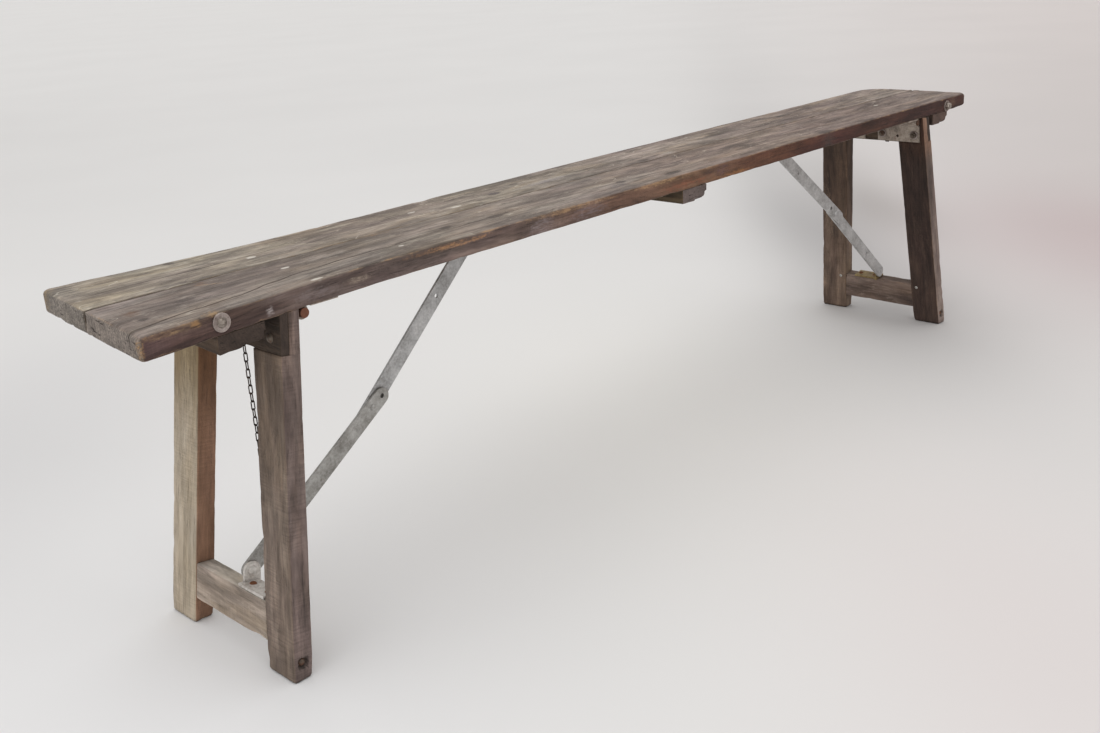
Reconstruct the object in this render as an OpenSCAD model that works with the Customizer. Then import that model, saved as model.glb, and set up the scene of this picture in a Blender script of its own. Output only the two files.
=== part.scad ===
// Folding trestle bench: a two-plank seat on two splayed leg frames. Each leg
// frame turns on a steel rod under the seat and is held open by a pair of flat
// jointed stays. Millimetres. The origin is on the floor under the middle of
// the seat, +X along the seat, +Z up. The end at -X is called near.

/* [Seat] */
// Length of the seat planks
seat_l = 2000; // [1850:10:2200]
// Width of the two planks together
seat_w = 240; // [236:1:260]
// Thickness of the planks
seat_t = 27; // [24:1:30]
// Height of the seat top above the floor
seat_h = 500; // [490:1:520]
// How far the joint between the planks lies behind the middle
plank_joint = 8; // [0:1:20]
// Half of the open gap between the two planks
plank_gap = 0.4; // [0.2:0.1:1]

/* [Cleats] */
// Width of a cleat along the seat
cleat_w = 66; // [50:1:70]
// Thickness of a cleat
cleat_t = 24; // [20:1:26]
// Distance of an end cleat's middle from the middle of the seat
cleat_x = 880; // [878:1:895]

/* [Leg frames] */
// Distance of a hinge rod from the middle of the seat
hinge_x = 790; // [780:1:795]
// Drop of the hinge rod's axis below the seat's underside
hinge_drop = 9.5; // [9.5:0.1:10]
// Outward lean of a leg frame, in degrees
lean = 8.5; // [7:0.1:9]
// Half width over the posts at the top
half_top = 119.5; // [117:0.5:121]
// Half width over the posts at the floor
half_foot = 148.5; // [140:0.5:160]
// Width of a post, seen from the end
post_w = 60; // [56:1:64]
// Thickness of posts and rails
post_t = 28; // [28:1:30]
// Height of the top rail
top_rail_h = 58; // [54:1:58]
// Height of the bottom rail
low_rail_h = 55; // [50:1:60]
// Length along the leg from the hinge rod to the top of the bottom rail
low_rail_drop = 381.7; // [380:0.1:384]
// Depth of the half lap that holds the top rail
lap = 12; // [10:1:14]

/* [Hinges] */
// Diameter of the hinge rod
rod_d = 12.7; // [12:0.1:12.8]
// Outside radius of a hinge knuckle
knuckle_r = 9.4; // [9:0.1:9.4]
// Thickness of a hinge leaf
leaf_t = 3; // [2.5:0.1:3]
// Width of a hinge leaf
leaf_w = 96.9; // [90:0.1:98]
// Distance of a leaf's inner edge from the middle
leaf_y = 15.6; // [12:0.1:18]

/* [Stays] */
// Width of a stay bar
bar_w = 25; // [22:1:25]
// Thickness of a stay bar
bar_t = 4; // [3:0.1:4]
// Pivot to elbow length of a lower stay bar
low_l = 278.6; // [278.4:0.1:279]
// Pivot to elbow length of an upper stay bar
up_l = 281.7; // [281.5:0.1:282]
// Length of the lower bar past the elbow
low_tail = 33; // [30:1:33]
// Length of the upper bar past the elbow
up_tail = 33; // [30:1:33]
// Diameter of the holes for the locking pin
lock_d = 7; // [6:0.1:7.5]
// Distance of the near seat bracket's pivot from the middle of the seat
near_pivot_x = 423; // [422:0.1:424]
// Distance of the far seat bracket's pivot from the middle of the seat
far_pivot_x = 421.3; // [421.1:0.1:422]
// Place of the near stay across the seat
near_stay_y = -14; // [-20:1:0]
// Place of the far stay across the seat, seen from its own end
far_stay_y = 4; // [-10:1:10]

/* [Chain] */
// Wire diameter of a chain link
wire = 1.5; // [1.2:0.1:1.6]
// Distance from link to link
pitch = 10.7; // [10.7:0.1:10.7]
// Links above the chain's bend
top_links = 7; // [5:2:9]
// Links below the chain's bend
low_links = 20; // [16:2:22]

/* [Hidden] */
$fn = 48;

under = seat_h - seat_t;                 // underside of the seat
hinge_z = under - hinge_drop;
u_in = -hinge_drop;                      // inner face of a leg frame, from the rod
u_out = u_in - post_t;                   // outer face
u_mid = (u_in + u_out)/2;
cl = cos(lean);
sl = sin(lean);
w_top = hinge_drop/cl;                   // along the leg, measured up from the rod
w_floor = -hinge_z/cl;
splay = (half_foot - half_top)/(w_top - w_floor);
function face_y(w) = half_top + (w_top - w)*splay;
top_w = -hinge_drop*0 - 49;              // lower edge of the top rail
low_w1 = -low_rail_drop;                 // upper edge of the bottom rail
low_w0 = low_w1 - low_rail_h;
bolt_w = -30;                            // hinge bolt line on the leg
bolt_ys = [-100, -26.6, 26.6, 100];
leaf_screw_ys = [-98, -64, -30, 30, 64, 98];
foot_w = -447.9;
tenon_screw_w = -387;
leaf_x = 52;                             // reach of the seat leaf from the rod
plate_y = 118;                           // outer edge of the seat leaf
// lower stay pivot in the leg's own frame, and in the bench's frame
piv_u = u_in - 6.5;
piv_w = low_w1 + 17.7;
piv_x = -hinge_x + piv_u*cl + piv_w*sl;
piv_z = hinge_z - piv_u*sl + piv_w*cl;
seat_piv_z = under - 18.5;
ear_r = bar_w/2;
gap = 0.2;                               // half of the gap between the bars
fit = 0.05;                              // play between a rail's shoulder and its post
tie_x = 905;
tie_z = under + 10;
cleat_screw_ys = [-88, -34, 46, 92];
stp = [-841, -54, under - 7];            // chain staple's crown
rc = 2.25;                               // link end radius at the wire's middle
half_a = 3.9;                            // half the straight length of a link
link0_z = stp[2] - (half_a + rc - wire/2) + 1.1;

// elbow of a stay, from its two pivots: side +1 above the line, -1 below it
function elbow(ax, side) =
    let (dx = ax - piv_x, dz = seat_piv_z - piv_z, d = sqrt(dx*dx + dz*dz),
         a = (low_l*low_l - up_l*up_l + d*d)/(2*d), h = sqrt(max(0, low_l*low_l - a*a)))
    [piv_x + a*dx/d - side*h*dz/d, piv_z + a*dz/d + side*h*dx/d];
function low_angle(ax, side) = let (e = elbow(ax, side)) atan2(e[1] - piv_z, e[0] - piv_x);
function up_angle(ax, side) = let (e = elbow(ax, side)) atan2(e[1] - seat_piv_z, e[0] - ax);

// the far end is the near end turned half a turn about Z
module far_end() rotate([0, 0, 180]) children();
module in_leg() translate([-hinge_x, 0, hinge_z]) rotate([0, lean, 0]) children();

// a cylinder of length l along +Y
module ycyl(r, l, y0 = 0) translate([0, y0, 0]) rotate([-90, 0, 0]) cylinder(r = r, h = l);
// a cylinder of length l along +X
module xcyl(r, l, x0 = 0) translate([x0, 0, 0]) rotate([0, 90, 0]) cylinder(r = r, h = l);
// a low domed head on the plane z = 0, pointing up
module dome(r, h) intersection() {
    translate([0, 0, h - (r*r + h*h)/(2*h)]) sphere(r = (r*r + h*h)/(2*h));
    cylinder(r = r + 1, h = h + 1);
}
// a slotted round-head wood screw, head above z = 0, shank below
module round_screw(r, h, shank_r, l) union() {
    difference() {
        dome(r, h);
        translate([-r, -0.6, h*0.45]) cube([2*r, 1.2, h]);
    }
    translate([0, 0, -l + 2]) cylinder(r = shank_r, h = l - 2 + 0.01);
    translate([0, 0, -l]) cylinder(r1 = 0.4, r2 = shank_r, h = 2.01);
}
// a countersunk wood screw whose head is flush with z = 0, shank below
module flat_screw(r, shank_r, l) difference() {
    union() {
        translate([0, 0, -r + shank_r]) cylinder(r1 = shank_r, r2 = r, h = r - shank_r);
        translate([0, 0, -l + 2]) cylinder(r = shank_r, h = l - 2 - r + shank_r + 0.01);
        translate([0, 0, -l]) cylinder(r1 = 0.4, r2 = shank_r, h = 2.01);
    }
    translate([-r, -0.6, -0.9]) cube([2*r, 1.2, 2]);
}
module hex_nut(r_flat, h, bore) difference() {
    cylinder(r = r_flat/cos(30), h = h, $fn = 6);
    translate([0, 0, -1]) cylinder(r = bore, h = h + 2);
}
module washer(r, h, bore) difference() {
    cylinder(r = r, h = h);
    translate([0, 0, -1]) cylinder(r = bore, h = h + 2);
}

// ---------------------------------------------------------------- seat
// plan of the whole seat, with its four different worn corners
module seat_plan() {
    x = seat_l/2;
    y = seat_w/2;
    difference() {
        translate([-x, -y]) square([seat_l, seat_w]);
        corner_cut(-x, -y, 7, 1, 1);
        corner_cut(-x, y, 28, 1, -1);
        corner_cut(x, -y, 12, -1, 1);
        corner_cut(x, y, 48, -1, -1);
    }
}
module corner_cut(x, y, r, sx, sy) difference() {
    translate([x - (sx < 0 ? r : 1), y - (sy < 0 ? r : 1)]) square([r + 1, r + 1]);
    translate([x + sx*r, y + sy*r]) circle(r = r);
}
// section of the seat across its width, with eased edges
module seat_section() {
    y = seat_w/2;
    r = 4;
    union() {
        translate([-y + r, 0]) square([seat_w - 2*r, seat_t]);
        translate([-y, r]) square([seat_w, seat_t - 2*r]);
        for (a = [-1, 1], b = [r, seat_t - r]) translate([a*(y - r), b]) circle(r = r);
    }
}
module seat_holes() {
    for (s = [-1, 1]) translate([s*tie_x, 0, tie_z]) ycyl(4.1, seat_w + 4, -seat_w/2 - 2);
    for (x = [-cleat_x, 0, cleat_x], y = cleat_screw_ys, s = [-1, 1])
        translate([x + s*18, y, under - 1]) cylinder(r = 2.05, h = 17.2);
    for (s = [0, 180]) rotate([0, 0, s]) {
        for (y = leaf_screw_ys)
            translate([-hinge_x + leaf_x - 12, y, under - 1]) cylinder(r = 2.05, h = 18.2);
    }
    for (y = [near_stay_y + 17, near_stay_y + 33])
        translate([-near_pivot_x, y, under - 1]) cylinder(r = 2.05, h = 17.2);
    far_end() for (y = [far_stay_y + 17, far_stay_y + 33])
        translate([-far_pivot_x, y, under - 1]) cylinder(r = 2.05, h = 17.2);
    for (s = [-4, 4]) translate([stp[0] + s, stp[1], under - 1]) cylinder(r = 1.05, h = 12.2);
}
module plank(y0, y1) difference() {
    intersection() {
        translate([0, 0, under]) linear_extrude(seat_t) seat_plan();
        translate([-seat_l/2 - 1, 0, under]) rotate([90, 0, 90]) linear_extrude(seat_l + 2) seat_section();
        translate([-seat_l, y0, under - 1]) cube([2*seat_l, y1 - y0, seat_t + 2]);
    }
    seat_holes();
}
module seat_plank_front() color([0.36, 0.31, 0.28]) plank(-seat_w, plank_joint - plank_gap);
module seat_plank_back() color([0.40, 0.36, 0.32]) plank(plank_joint + plank_gap, seat_w);

// a cross batten, its lower edge worn round on the +X side
module cleat(x) {
    y = seat_w/2 - 1;
    c = 2;
    v = cleat_w/2;
    difference() {
        intersection() {
            translate([x - cleat_w/2, 0, under - cleat_t]) rotate([90, 0, 90]) linear_extrude(cleat_w)
                polygon([[-y, cleat_t], [-y, c], [-y + c, 0], [y - c, 0], [y, c], [y, cleat_t]]);
            translate([x, y, under - cleat_t]) rotate([90, 0, 0]) linear_extrude(2*y)
                polygon([[-v, cleat_t], [-v, 1], [-v + 1, 0], [v - 10, 0], [v - 5.5, 1.4], [v - 2, 4.4], [v, 9], [v, cleat_t]]);
        }
        for (yy = cleat_screw_ys, s = [-1, 1])
            translate([x + s*18, yy, under - cleat_t - 1]) cylinder(r = 2.25, h = cleat_t + 2);
    }
}
module near_cleat() color([0.33, 0.27, 0.24]) cleat(-cleat_x);
module mid_cleat() color([0.36, 0.30, 0.27]) cleat(0);
module far_cleat() color([0.30, 0.25, 0.22]) cleat(cleat_x);
module cleat_screws() color([0.33, 0.25, 0.2])
    for (x = [-cleat_x, 0, cleat_x], y = cleat_screw_ys, s = [-1, 1])
        translate([x + s*18, y, under - cleat_t]) rotate([180, 0, 0]) round_screw(4.5, 2.6, 2, 39);

// bolts across the seat that pull the two planks together
module tie_bolts() color([0.5, 0.45, 0.4]) for (s = [0, 180]) rotate([0, 0, s])
    translate([-tie_x, 0, tie_z]) union() {
        ycyl(4, seat_w + 12, -seat_w/2 - 2.1);
        translate([0, -seat_w/2 - 2, 0]) rotate([90, 0, 0]) dome(6.4, 5);
    }
module tie_bolt_washers() color([0.55, 0.5, 0.46]) for (s = [0, 180]) rotate([0, 0, s])
    translate([-tie_x, 0, tie_z]) for (y = [-seat_w/2 - 2, seat_w/2])
        translate([0, y, 0]) rotate([-90, 0, 0]) washer(11.5, 2, 4.06);
module tie_bolt_nuts() color([0.45, 0.4, 0.36]) for (s = [0, 180]) rotate([0, 0, s])
    translate([-tie_x, seat_w/2 + 2, tie_z]) rotate([-90, 0, 0]) hex_nut(6.5, 6.5, 4.06);

// ---------------------------------------------------------------- hinges
// knuckle spans along Y, as [start, length], for one leaf
seat_kn = [[leaf_y, 24], [leaf_y + leaf_w - 24, 24]];
leg_kn = [[leaf_y + 24.5, leaf_w - 49]];
// a leaf that lies along +X at z = hinge_drop - leaf_t .. hinge_drop over the rod
module leaf(kn, reach) difference() {
    union() {
        translate([knuckle_r + 1.1, leaf_y, hinge_drop - leaf_t])
            cube([reach - knuckle_r - 1.1, leaf_w, leaf_t]);
        for (k = kn) {
            translate([0, k[0], hinge_drop - leaf_t]) cube([knuckle_r + 2, k[1], leaf_t - 0.1]);
            ycyl(knuckle_r, k[1], k[0]);
        }
    }
    ycyl(rod_d/2 + 0.06, 300, -20);
}
module seat_leaves() translate([-hinge_x, 0, hinge_z]) for (m = [0, 1]) mirror([0, m, 0])
    difference() {
        union() {
            leaf(seat_kn, leaf_x);
            translate([knuckle_r + 1.1, leaf_y + leaf_w - 1, hinge_drop - leaf_t])
                cube([leaf_x - knuckle_r - 1.1, plate_y - leaf_y - leaf_w + 1, leaf_t]);
        }
        for (y = [30, 64, 98]) translate([leaf_x - 12, y, hinge_drop - leaf_t]) {
            translate([0, 0, -1]) cylinder(r = 2.1, h = leaf_t + 2);
            translate([0, 0, -0.01]) cylinder(r1 = 4.3, r2 = 2.1, h = 2.2);
        }
    }
module near_seat_hinge_leaves() color([0.47, 0.48, 0.44]) seat_leaves();
module far_seat_hinge_leaves() color([0.47, 0.48, 0.44]) far_end() seat_leaves();
module seat_leaf_screws() color([0.4, 0.38, 0.35]) for (s = [0, 180]) rotate([0, 0, s])
    for (y = leaf_screw_ys) translate([-hinge_x + leaf_x - 12, y, under - leaf_t])
        rotate([180, 0, 0]) flat_screw(4.1, 2, 20);
module rod() translate([-hinge_x, 0, hinge_z]) ycyl(rod_d/2, 232.7, -118.7);
module near_hinge_rod() color([0.42, 0.22, 0.14]) rod();
module far_hinge_rod() color([0.42, 0.22, 0.14]) far_end() rod();
// leg leaf: turned so that it lies down the leg's inner face
module leg_leaves() in_leg() for (m = [0, 1]) mirror([0, m, 0])
    rotate([0, -90, 0]) mirror([1, 0, 0]) difference() {
        leaf(leg_kn, 46);
        for (y = [26.6, 100]) translate([-bolt_w, y, 0]) cylinder(r = 3.1, h = 20);
        translate([34, 62, 0]) cylinder(r = 3, h = 20);
    }
module hinge_bolts() in_leg() for (y = bolt_ys) translate([0, y, bolt_w]) union() {
    xcyl(3, -u_out + u_in + leaf_t + 9.5, u_out - 0.01);
    translate([u_out, 0, 0]) rotate([0, -90, 0]) dome(6.5, 4);
}
module hinge_washers() in_leg() for (y = bolt_ys) translate([u_in + leaf_t, y, bolt_w])
    rotate([0, 90, 0]) washer(9, 1.4, 3.06);
module hinge_nuts() in_leg() for (y = bolt_ys) translate([u_in + leaf_t + 1.4, y, bolt_w])
    rotate([0, 90, 0]) hex_nut(5.5, 5, 3.06);

// ---------------------------------------------------------------- leg frames
module post_blank(side) intersection() {
    in_leg() translate([u_out, 0, 0]) rotate([90, 0, 90]) linear_extrude(post_t)
        polygon([[side*face_y(-500), -500], [side*(face_y(-500) - post_w), -500],
                 [side*(face_y(30) - post_w), 30], [side*face_y(30), 30]]);
    translate([-2000, -500, 0]) cube([4000, 1000, under - 0.5]);
}
module leg_bolt_holes() in_leg() {
    for (y = bolt_ys) translate([0, y, bolt_w]) xcyl(3.08, 60, -50);
}
module post(side) difference() {
    post_blank(side);
    // half lap for the top rail
    in_leg() translate([u_out - 1, -200, top_w - fit]) cube([lap + 1 + fit, 400, 100]);
    // mortise for the bottom rail's tenon
    in_leg() translate([u_mid - 6.1, side > 0 ? 50 : -124.1, low_w0 + 5.9]) cube([12.2, 74.1, low_rail_h - 7.1]);
    leg_bolt_holes();
    // recess and hole of the foot bolt
    in_leg() translate([u_mid, side*face_y(foot_w), foot_w]) rotate([side*-90, 0, 0]) {
        translate([0, 0, -5]) cylinder(r = 6.8, h = 12);
        translate([0, 0, -47]) cylinder(r = 3.05, h = 48);
    }
    // hole of the tenon screw
    in_leg() translate([u_in - 24, side*96, tenon_screw_w]) xcyl(2.05, 30);
}
module top_rail() difference() {
    intersection() {
        in_leg() union() {
            translate([u_out, 0, 0]) rotate([90, 0, 90]) linear_extrude(lap)
                polygon([[-face_y(top_w), top_w], [face_y(top_w), top_w], [face_y(30), 30], [-face_y(30), 30]]);
            translate([u_out, 0, 0]) rotate([90, 0, 90]) linear_extrude(post_t)
                polygon([[-face_y(top_w) + post_w + fit, top_w], [face_y(top_w) - post_w - fit, top_w],
                         [face_y(30) - post_w - fit, 30], [-face_y(30) + post_w + fit, 30]]);
        }
        translate([-2000, -500, 0]) cube([4000, 1000, under - 0.5]);
    }
    leg_bolt_holes();
}
module bottom_rail() difference() {
    in_leg() union() {
        translate([u_out, 0, 0]) rotate([90, 0, 90]) linear_extrude(post_t)
            polygon([[-face_y(low_w0) + post_w + fit, low_w0], [face_y(low_w0) - post_w - fit, low_w0],
                     [face_y(low_w1) - post_w - fit, low_w1], [-face_y(low_w1) + post_w + fit, low_w1]]);
        translate([u_mid - 6, -123, low_w0 + 6]) cube([12, 246, low_rail_h - 7.3]);
    }
    for (s = [-1, 1]) in_leg() translate([u_in - 24, s*96, tenon_screw_w]) xcyl(2.05, 30);
}
module rail_bracket_holes(y0) in_leg()
    for (y = rail_screw_ys(y0)) translate([u_mid + 2, y, low_w1 - 16.2]) cylinder(r = 2.05, h = 22);
function rail_screw_ys(y0) = [y0 - 18, y0 - 53];
module bottom_rail_with_holes(y0) difference() {
    bottom_rail();
    rail_bracket_holes(y0);
}
module foot_bolts() in_leg() for (side = [-1, 1])
    translate([u_mid, side*face_y(foot_w), foot_w]) rotate([side*-90, 0, 0]) union() {
        translate([0, 0, -5]) dome(6, 3.4);
        translate([0, 0, -45]) cylinder(r = 3, h = 40.01);
    }
module tenon_screws() in_leg() for (s = [-1, 1])
    translate([u_in, s*96, tenon_screw_w]) rotate([0, 90, 0]) round_screw(4, 2.2, 2, 22);

// ---------------------------------------------------------------- stays
// plate in the X-Z plane: a bar from the origin along +X with holes as [s, r]
module bar_plate(l0, l1, t, holes) difference() {
    union() {
        translate([0, 0, -bar_w/2]) cube([l1 - bar_w/2, t, bar_w]);
        ycyl(bar_w/2, t);
        translate([l1 - bar_w/2, 0, 0]) ycyl(bar_w/2, t);
    }
    for (h = holes) translate([h[0], -1, 0]) ycyl(h[1], t + 2);
}
// conical seat of a rivet's closed end, r at the face, 45 degrees
module csink(r, y, dir) translate([0, y, 0]) rotate([dir*90, 0, 0]) translate([0, 0, -0.01]) cylinder(r1 = r + 0.01, r2 = r - 1.4, h = 1.41);
module lower_stay(ax, side, y0) translate([piv_x, 0, piv_z]) rotate([0, -low_angle(ax, side), 0])
    difference() {
        translate([0, y0 - gap - bar_t, 0])
            bar_plate(0, low_l + low_tail, bar_t, [[0, 4.06], [89, lock_d/2], [low_l, 3.55], [low_l + 25 - 3.5, lock_d/2]]);
        csink(5.53, y0 - gap, 1);
    }
module upper_stay(ax, side, y0) translate([ax, 0, seat_piv_z]) rotate([0, -up_angle(ax, side), 0])
    difference() {
        translate([0, y0 + gap, 0])
            bar_plate(0, up_l + up_tail, bar_t, [[0, 4.06], [92, lock_d/2], [up_l - 25, lock_d/2], [up_l, 3.55]]);
        csink(5.53, y0 + gap, -1);
    }
module lower_elbow(ax, side, y0) translate([piv_x, 0, piv_z]) rotate([0, -low_angle(ax, side), 0])
    translate([low_l, 0, 0]) union() {
        ycyl(3.5, bar_t, y0 - gap - bar_t);
        translate([0, y0 - gap - bar_t, 0]) rotate([90, 0, 0]) dome(5.4, 2.8);
    }
module upper_elbow(ax, side, y0) translate([ax, 0, seat_piv_z]) rotate([0, -up_angle(ax, side), 0])
    translate([up_l, 0, 0]) union() {
        ycyl(3.5, bar_t, y0 + gap);
        translate([0, y0 + gap + bar_t, 0]) rotate([-90, 0, 0]) dome(5.4, 2.8);
    }
// angle bracket on top of the bottom rail
module rail_bracket(y0) in_leg() difference() {
    union() {
        translate([u_out + 2, y0 - 62, low_w1]) cube([post_t, 62 - 2*gap - bar_t, 4]);
        translate([piv_u, y0 - 2*gap - 2*bar_t, piv_w]) ycyl(ear_r, bar_t);
        translate([piv_u - ear_r, y0 - 2*gap - 2*bar_t, low_w1]) cube([2*ear_r, bar_t, piv_w - low_w1]);
    }
    translate([piv_u, y0 - 30, piv_w]) ycyl(4.04, 60);
    for (y = rail_screw_ys(y0)) translate([u_mid + 2, y, low_w1 - 1]) cylinder(r = 2.4, h = 8);
}
module rail_bracket_screws(y0) in_leg() for (y = rail_screw_ys(y0))
    translate([u_mid + 2, y, low_w1 + 4]) round_screw(5, 2.8, 2, 20);
module pivot_rivet(y_ear, dir) {
    // head on the outer side of the ear, closed end flush with the bar
    l = 2*bar_t + gap;
    rotate([0, 0, dir > 0 ? 0 : 180]) translate([0, y_ear, 0]) union() {
        rotate([90, 0, 0]) dome(6.5, 4.2);
        ycyl(4, l - 0.02);
        translate([0, l - 1.42, 0]) rotate([-90, 0, 0]) cylinder(r1 = 4, r2 = 5.38, h = 1.4);
    }
}
module rail_pivot_rivet(y0) translate([piv_x, 0, piv_z])
    pivot_rivet(y0 - 2*gap - 2*bar_t, 1);
module seat_bracket(ax, y0) difference() {
    union() {
        translate([ax - 14, y0 + 2*gap + bar_t, under - 4]) cube([28, 36, 4]);
        translate([ax, y0 + 2*gap + bar_t, seat_piv_z]) ycyl(ear_r, bar_t);
        translate([ax - ear_r, y0 + 2*gap + bar_t, seat_piv_z]) cube([2*ear_r, bar_t, under - seat_piv_z]);
    }
    translate([ax, y0 - 30, seat_piv_z]) ycyl(4.04, 60);
    for (y = [y0 + 17, y0 + 33]) translate([ax, y, under - 10]) cylinder(r = 2.4, h = 20);
}
module seat_bracket_screw_set(ax, y0) for (y = [y0 + 17, y0 + 33])
    translate([ax, y, under - 4]) rotate([180, 0, 0]) round_screw(4.5, 2.6, 2, 18);
module seat_pivot_rivet(ax, y0) translate([ax, 0, seat_piv_z])
    pivot_rivet(-(y0 + 2*gap + 2*bar_t), -1);

// ---------------------------------------------------------------- chain
module half_ring(rad, w) rotate_extrude(angle = 180, $fn = 32) translate([rad, 0]) circle(r = w, $fn = 16);
// one link in the X-Z plane, centred on the origin
module link() union() {
    for (s = [-1, 1]) translate([s*rc, 0, -half_a]) cylinder(r = wire/2, h = 2*half_a, $fn = 16);
    translate([0, 0, half_a]) rotate([90, 0, 0]) half_ring(rc, wire/2);
    translate([0, 0, -half_a]) rotate([-90, 0, 0]) half_ring(rc, wire/2);
}
// links from number a to number b; even ones lie across the seat
module links(a, b) for (k = [a : b]) translate([stp[0], stp[1], link0_z - k*pitch])
    rotate([0, 0, k % 2 == 0 ? 90 : 0]) link();
module staple(w, drop, depth, r) union() {
    for (s = [-1, 1]) translate([s*w, 0, 0]) cylinder(r = r, h = drop + depth, $fn = 20);
    xcyl(r, 2*w, -w);
    for (s = [-1, 1]) translate([s*w, 0, 0]) sphere(r = r, $fn = 20);
}
module chain_staple() color([0.3, 0.24, 0.2]) translate(stp) staple(4, 7, 10, 1);
module chain_upper_links() color([0.2, 0.16, 0.14]) links(0, top_links - 1);
module chain_lower_links() color([0.2, 0.16, 0.14]) links(top_links, top_links + low_links - 1);
pin_link_z = link0_z - (top_links + low_links - 1)*pitch;
ring_r = 3.6;
module lock_pin() color([0.35, 0.3, 0.27]) translate([stp[0], stp[1], pin_link_z - half_a - (rc - wire/2) + 0.1 - (ring_r - 1)])
    union() {
        rotate([90, 0, 0]) rotate_extrude($fn = 32) translate([ring_r, 0]) circle(r = 1, $fn = 16);
        translate([0, 0, -ring_r - 40]) cylinder(r = 3.2, h = 40.2);
        translate([0, 0, -ring_r - 42]) cylinder(r1 = 2, r2 = 3.2, h = 2.01);
    }

module near_seat_bracket() color([0.58, 0.58, 0.57]) seat_bracket(-near_pivot_x, near_stay_y);
module far_seat_bracket() color([0.58, 0.58, 0.57]) far_end() seat_bracket(-far_pivot_x, far_stay_y);
module seat_bracket_screws() color([0.4, 0.34, 0.3]) {
    seat_bracket_screw_set(-near_pivot_x, near_stay_y);
    far_end() seat_bracket_screw_set(-far_pivot_x, far_stay_y);
}
module seat_pivot_rivets() color([0.6, 0.6, 0.59]) {
    seat_pivot_rivet(-near_pivot_x, near_stay_y);
    far_end() seat_pivot_rivet(-far_pivot_x, far_stay_y);
}
module near_front_post() color([0.42, 0.37, 0.32]) post(-1);
module near_back_post() color([0.52, 0.47, 0.39]) post(1);
module near_top_rail() color([0.27, 0.22, 0.19]) top_rail();
module near_bottom_rail() color([0.44, 0.40, 0.35]) bottom_rail_with_holes(near_stay_y);
module near_leg_hinge_leaves() color([0.47, 0.48, 0.44]) leg_leaves();
module near_hinge_bolts() color([0.38, 0.35, 0.32]) hinge_bolts();
module near_hinge_washers() color([0.45, 0.44, 0.41]) hinge_washers();
module near_hinge_nuts() color([0.42, 0.41, 0.38]) hinge_nuts();
module near_rail_bracket() color([0.64, 0.64, 0.62]) rail_bracket(near_stay_y);
module near_rail_bracket_screws() color([0.45, 0.3, 0.2]) rail_bracket_screws(near_stay_y);
module near_rail_pivot_rivet() color([0.6, 0.6, 0.59]) rail_pivot_rivet(near_stay_y);
module near_foot_bolts() color([0.36, 0.28, 0.24]) foot_bolts();
module near_tenon_screws() color([0.6, 0.6, 0.58]) tenon_screws();
module far_front_post() color([0.28, 0.23, 0.2]) far_end() post(1);
module far_back_post() color([0.28, 0.23, 0.2]) far_end() post(-1);
module far_top_rail() color([0.22, 0.18, 0.16]) far_end() top_rail();
module far_bottom_rail() color([0.32, 0.27, 0.23]) far_end() bottom_rail_with_holes(far_stay_y);
module far_leg_hinge_leaves() color([0.52, 0.53, 0.49]) far_end() leg_leaves();
module far_hinge_bolts() color([0.38, 0.35, 0.32]) far_end() hinge_bolts();
module far_hinge_washers() color([0.45, 0.44, 0.41]) far_end() hinge_washers();
module far_hinge_nuts() color([0.42, 0.41, 0.38]) far_end() hinge_nuts();
module far_rail_bracket() color([0.6, 0.52, 0.34]) far_end() rail_bracket(far_stay_y);
module far_rail_bracket_screws() color([0.45, 0.3, 0.2]) far_end() rail_bracket_screws(far_stay_y);
module far_rail_pivot_rivet() color([0.6, 0.6, 0.59]) far_end() rail_pivot_rivet(far_stay_y);
module far_foot_bolts() color([0.45, 0.25, 0.16]) far_end() foot_bolts();
module far_tenon_screws() color([0.7, 0.7, 0.68]) far_end() tenon_screws();
// empty staple under the far top rail
module far_rail_staple() color([0.3, 0.24, 0.2]) far_end() in_leg()
    translate([u_mid, 28, top_w - 5]) rotate([0, 0, 90]) staple(3.5, 4.9, 0, 1);
module near_upper_stay() color([0.6, 0.61, 0.62]) upper_stay(-near_pivot_x, -1, near_stay_y);
module near_upper_elbow_rivet() color([0.55, 0.55, 0.55]) upper_elbow(-near_pivot_x, -1, near_stay_y);
module near_lower_stay() color([0.6, 0.61, 0.62]) lower_stay(-near_pivot_x, -1, near_stay_y);
module near_lower_elbow_rivet() color([0.55, 0.55, 0.55]) lower_elbow(-near_pivot_x, -1, near_stay_y);
module far_upper_stay() color([0.6, 0.61, 0.62]) far_end() upper_stay(-far_pivot_x, 1, far_stay_y);
module far_upper_elbow_rivet() color([0.55, 0.55, 0.55]) far_end() upper_elbow(-far_pivot_x, 1, far_stay_y);
module far_lower_stay() color([0.6, 0.61, 0.62]) far_end() lower_stay(-far_pivot_x, 1, far_stay_y);
module far_lower_elbow_rivet() color([0.55, 0.55, 0.55]) far_end() lower_elbow(-far_pivot_x, 1, far_stay_y);

seat_plank_front();
seat_plank_back();
near_cleat();
mid_cleat();
far_cleat();
cleat_screws();
tie_bolts();
tie_bolt_washers();
tie_bolt_nuts();
near_seat_hinge_leaves();
far_seat_hinge_leaves();
seat_leaf_screws();
near_hinge_rod();
far_hinge_rod();
near_seat_bracket();
far_seat_bracket();
seat_bracket_screws();
seat_pivot_rivets();
chain_staple();
near_front_post();
near_back_post();
near_top_rail();
near_bottom_rail();
near_leg_hinge_leaves();
near_hinge_bolts();
near_hinge_washers();
near_hinge_nuts();
near_rail_bracket();
near_rail_bracket_screws();
near_rail_pivot_rivet();
near_foot_bolts();
near_tenon_screws();
far_front_post();
far_back_post();
far_top_rail();
far_bottom_rail();
far_leg_hinge_leaves();
far_hinge_bolts();
far_hinge_washers();
far_hinge_nuts();
far_rail_bracket();
far_rail_bracket_screws();
far_rail_pivot_rivet();
far_foot_bolts();
far_tenon_screws();
far_rail_staple();
near_upper_stay();
near_upper_elbow_rivet();
near_lower_stay();
near_lower_elbow_rivet();
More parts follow.
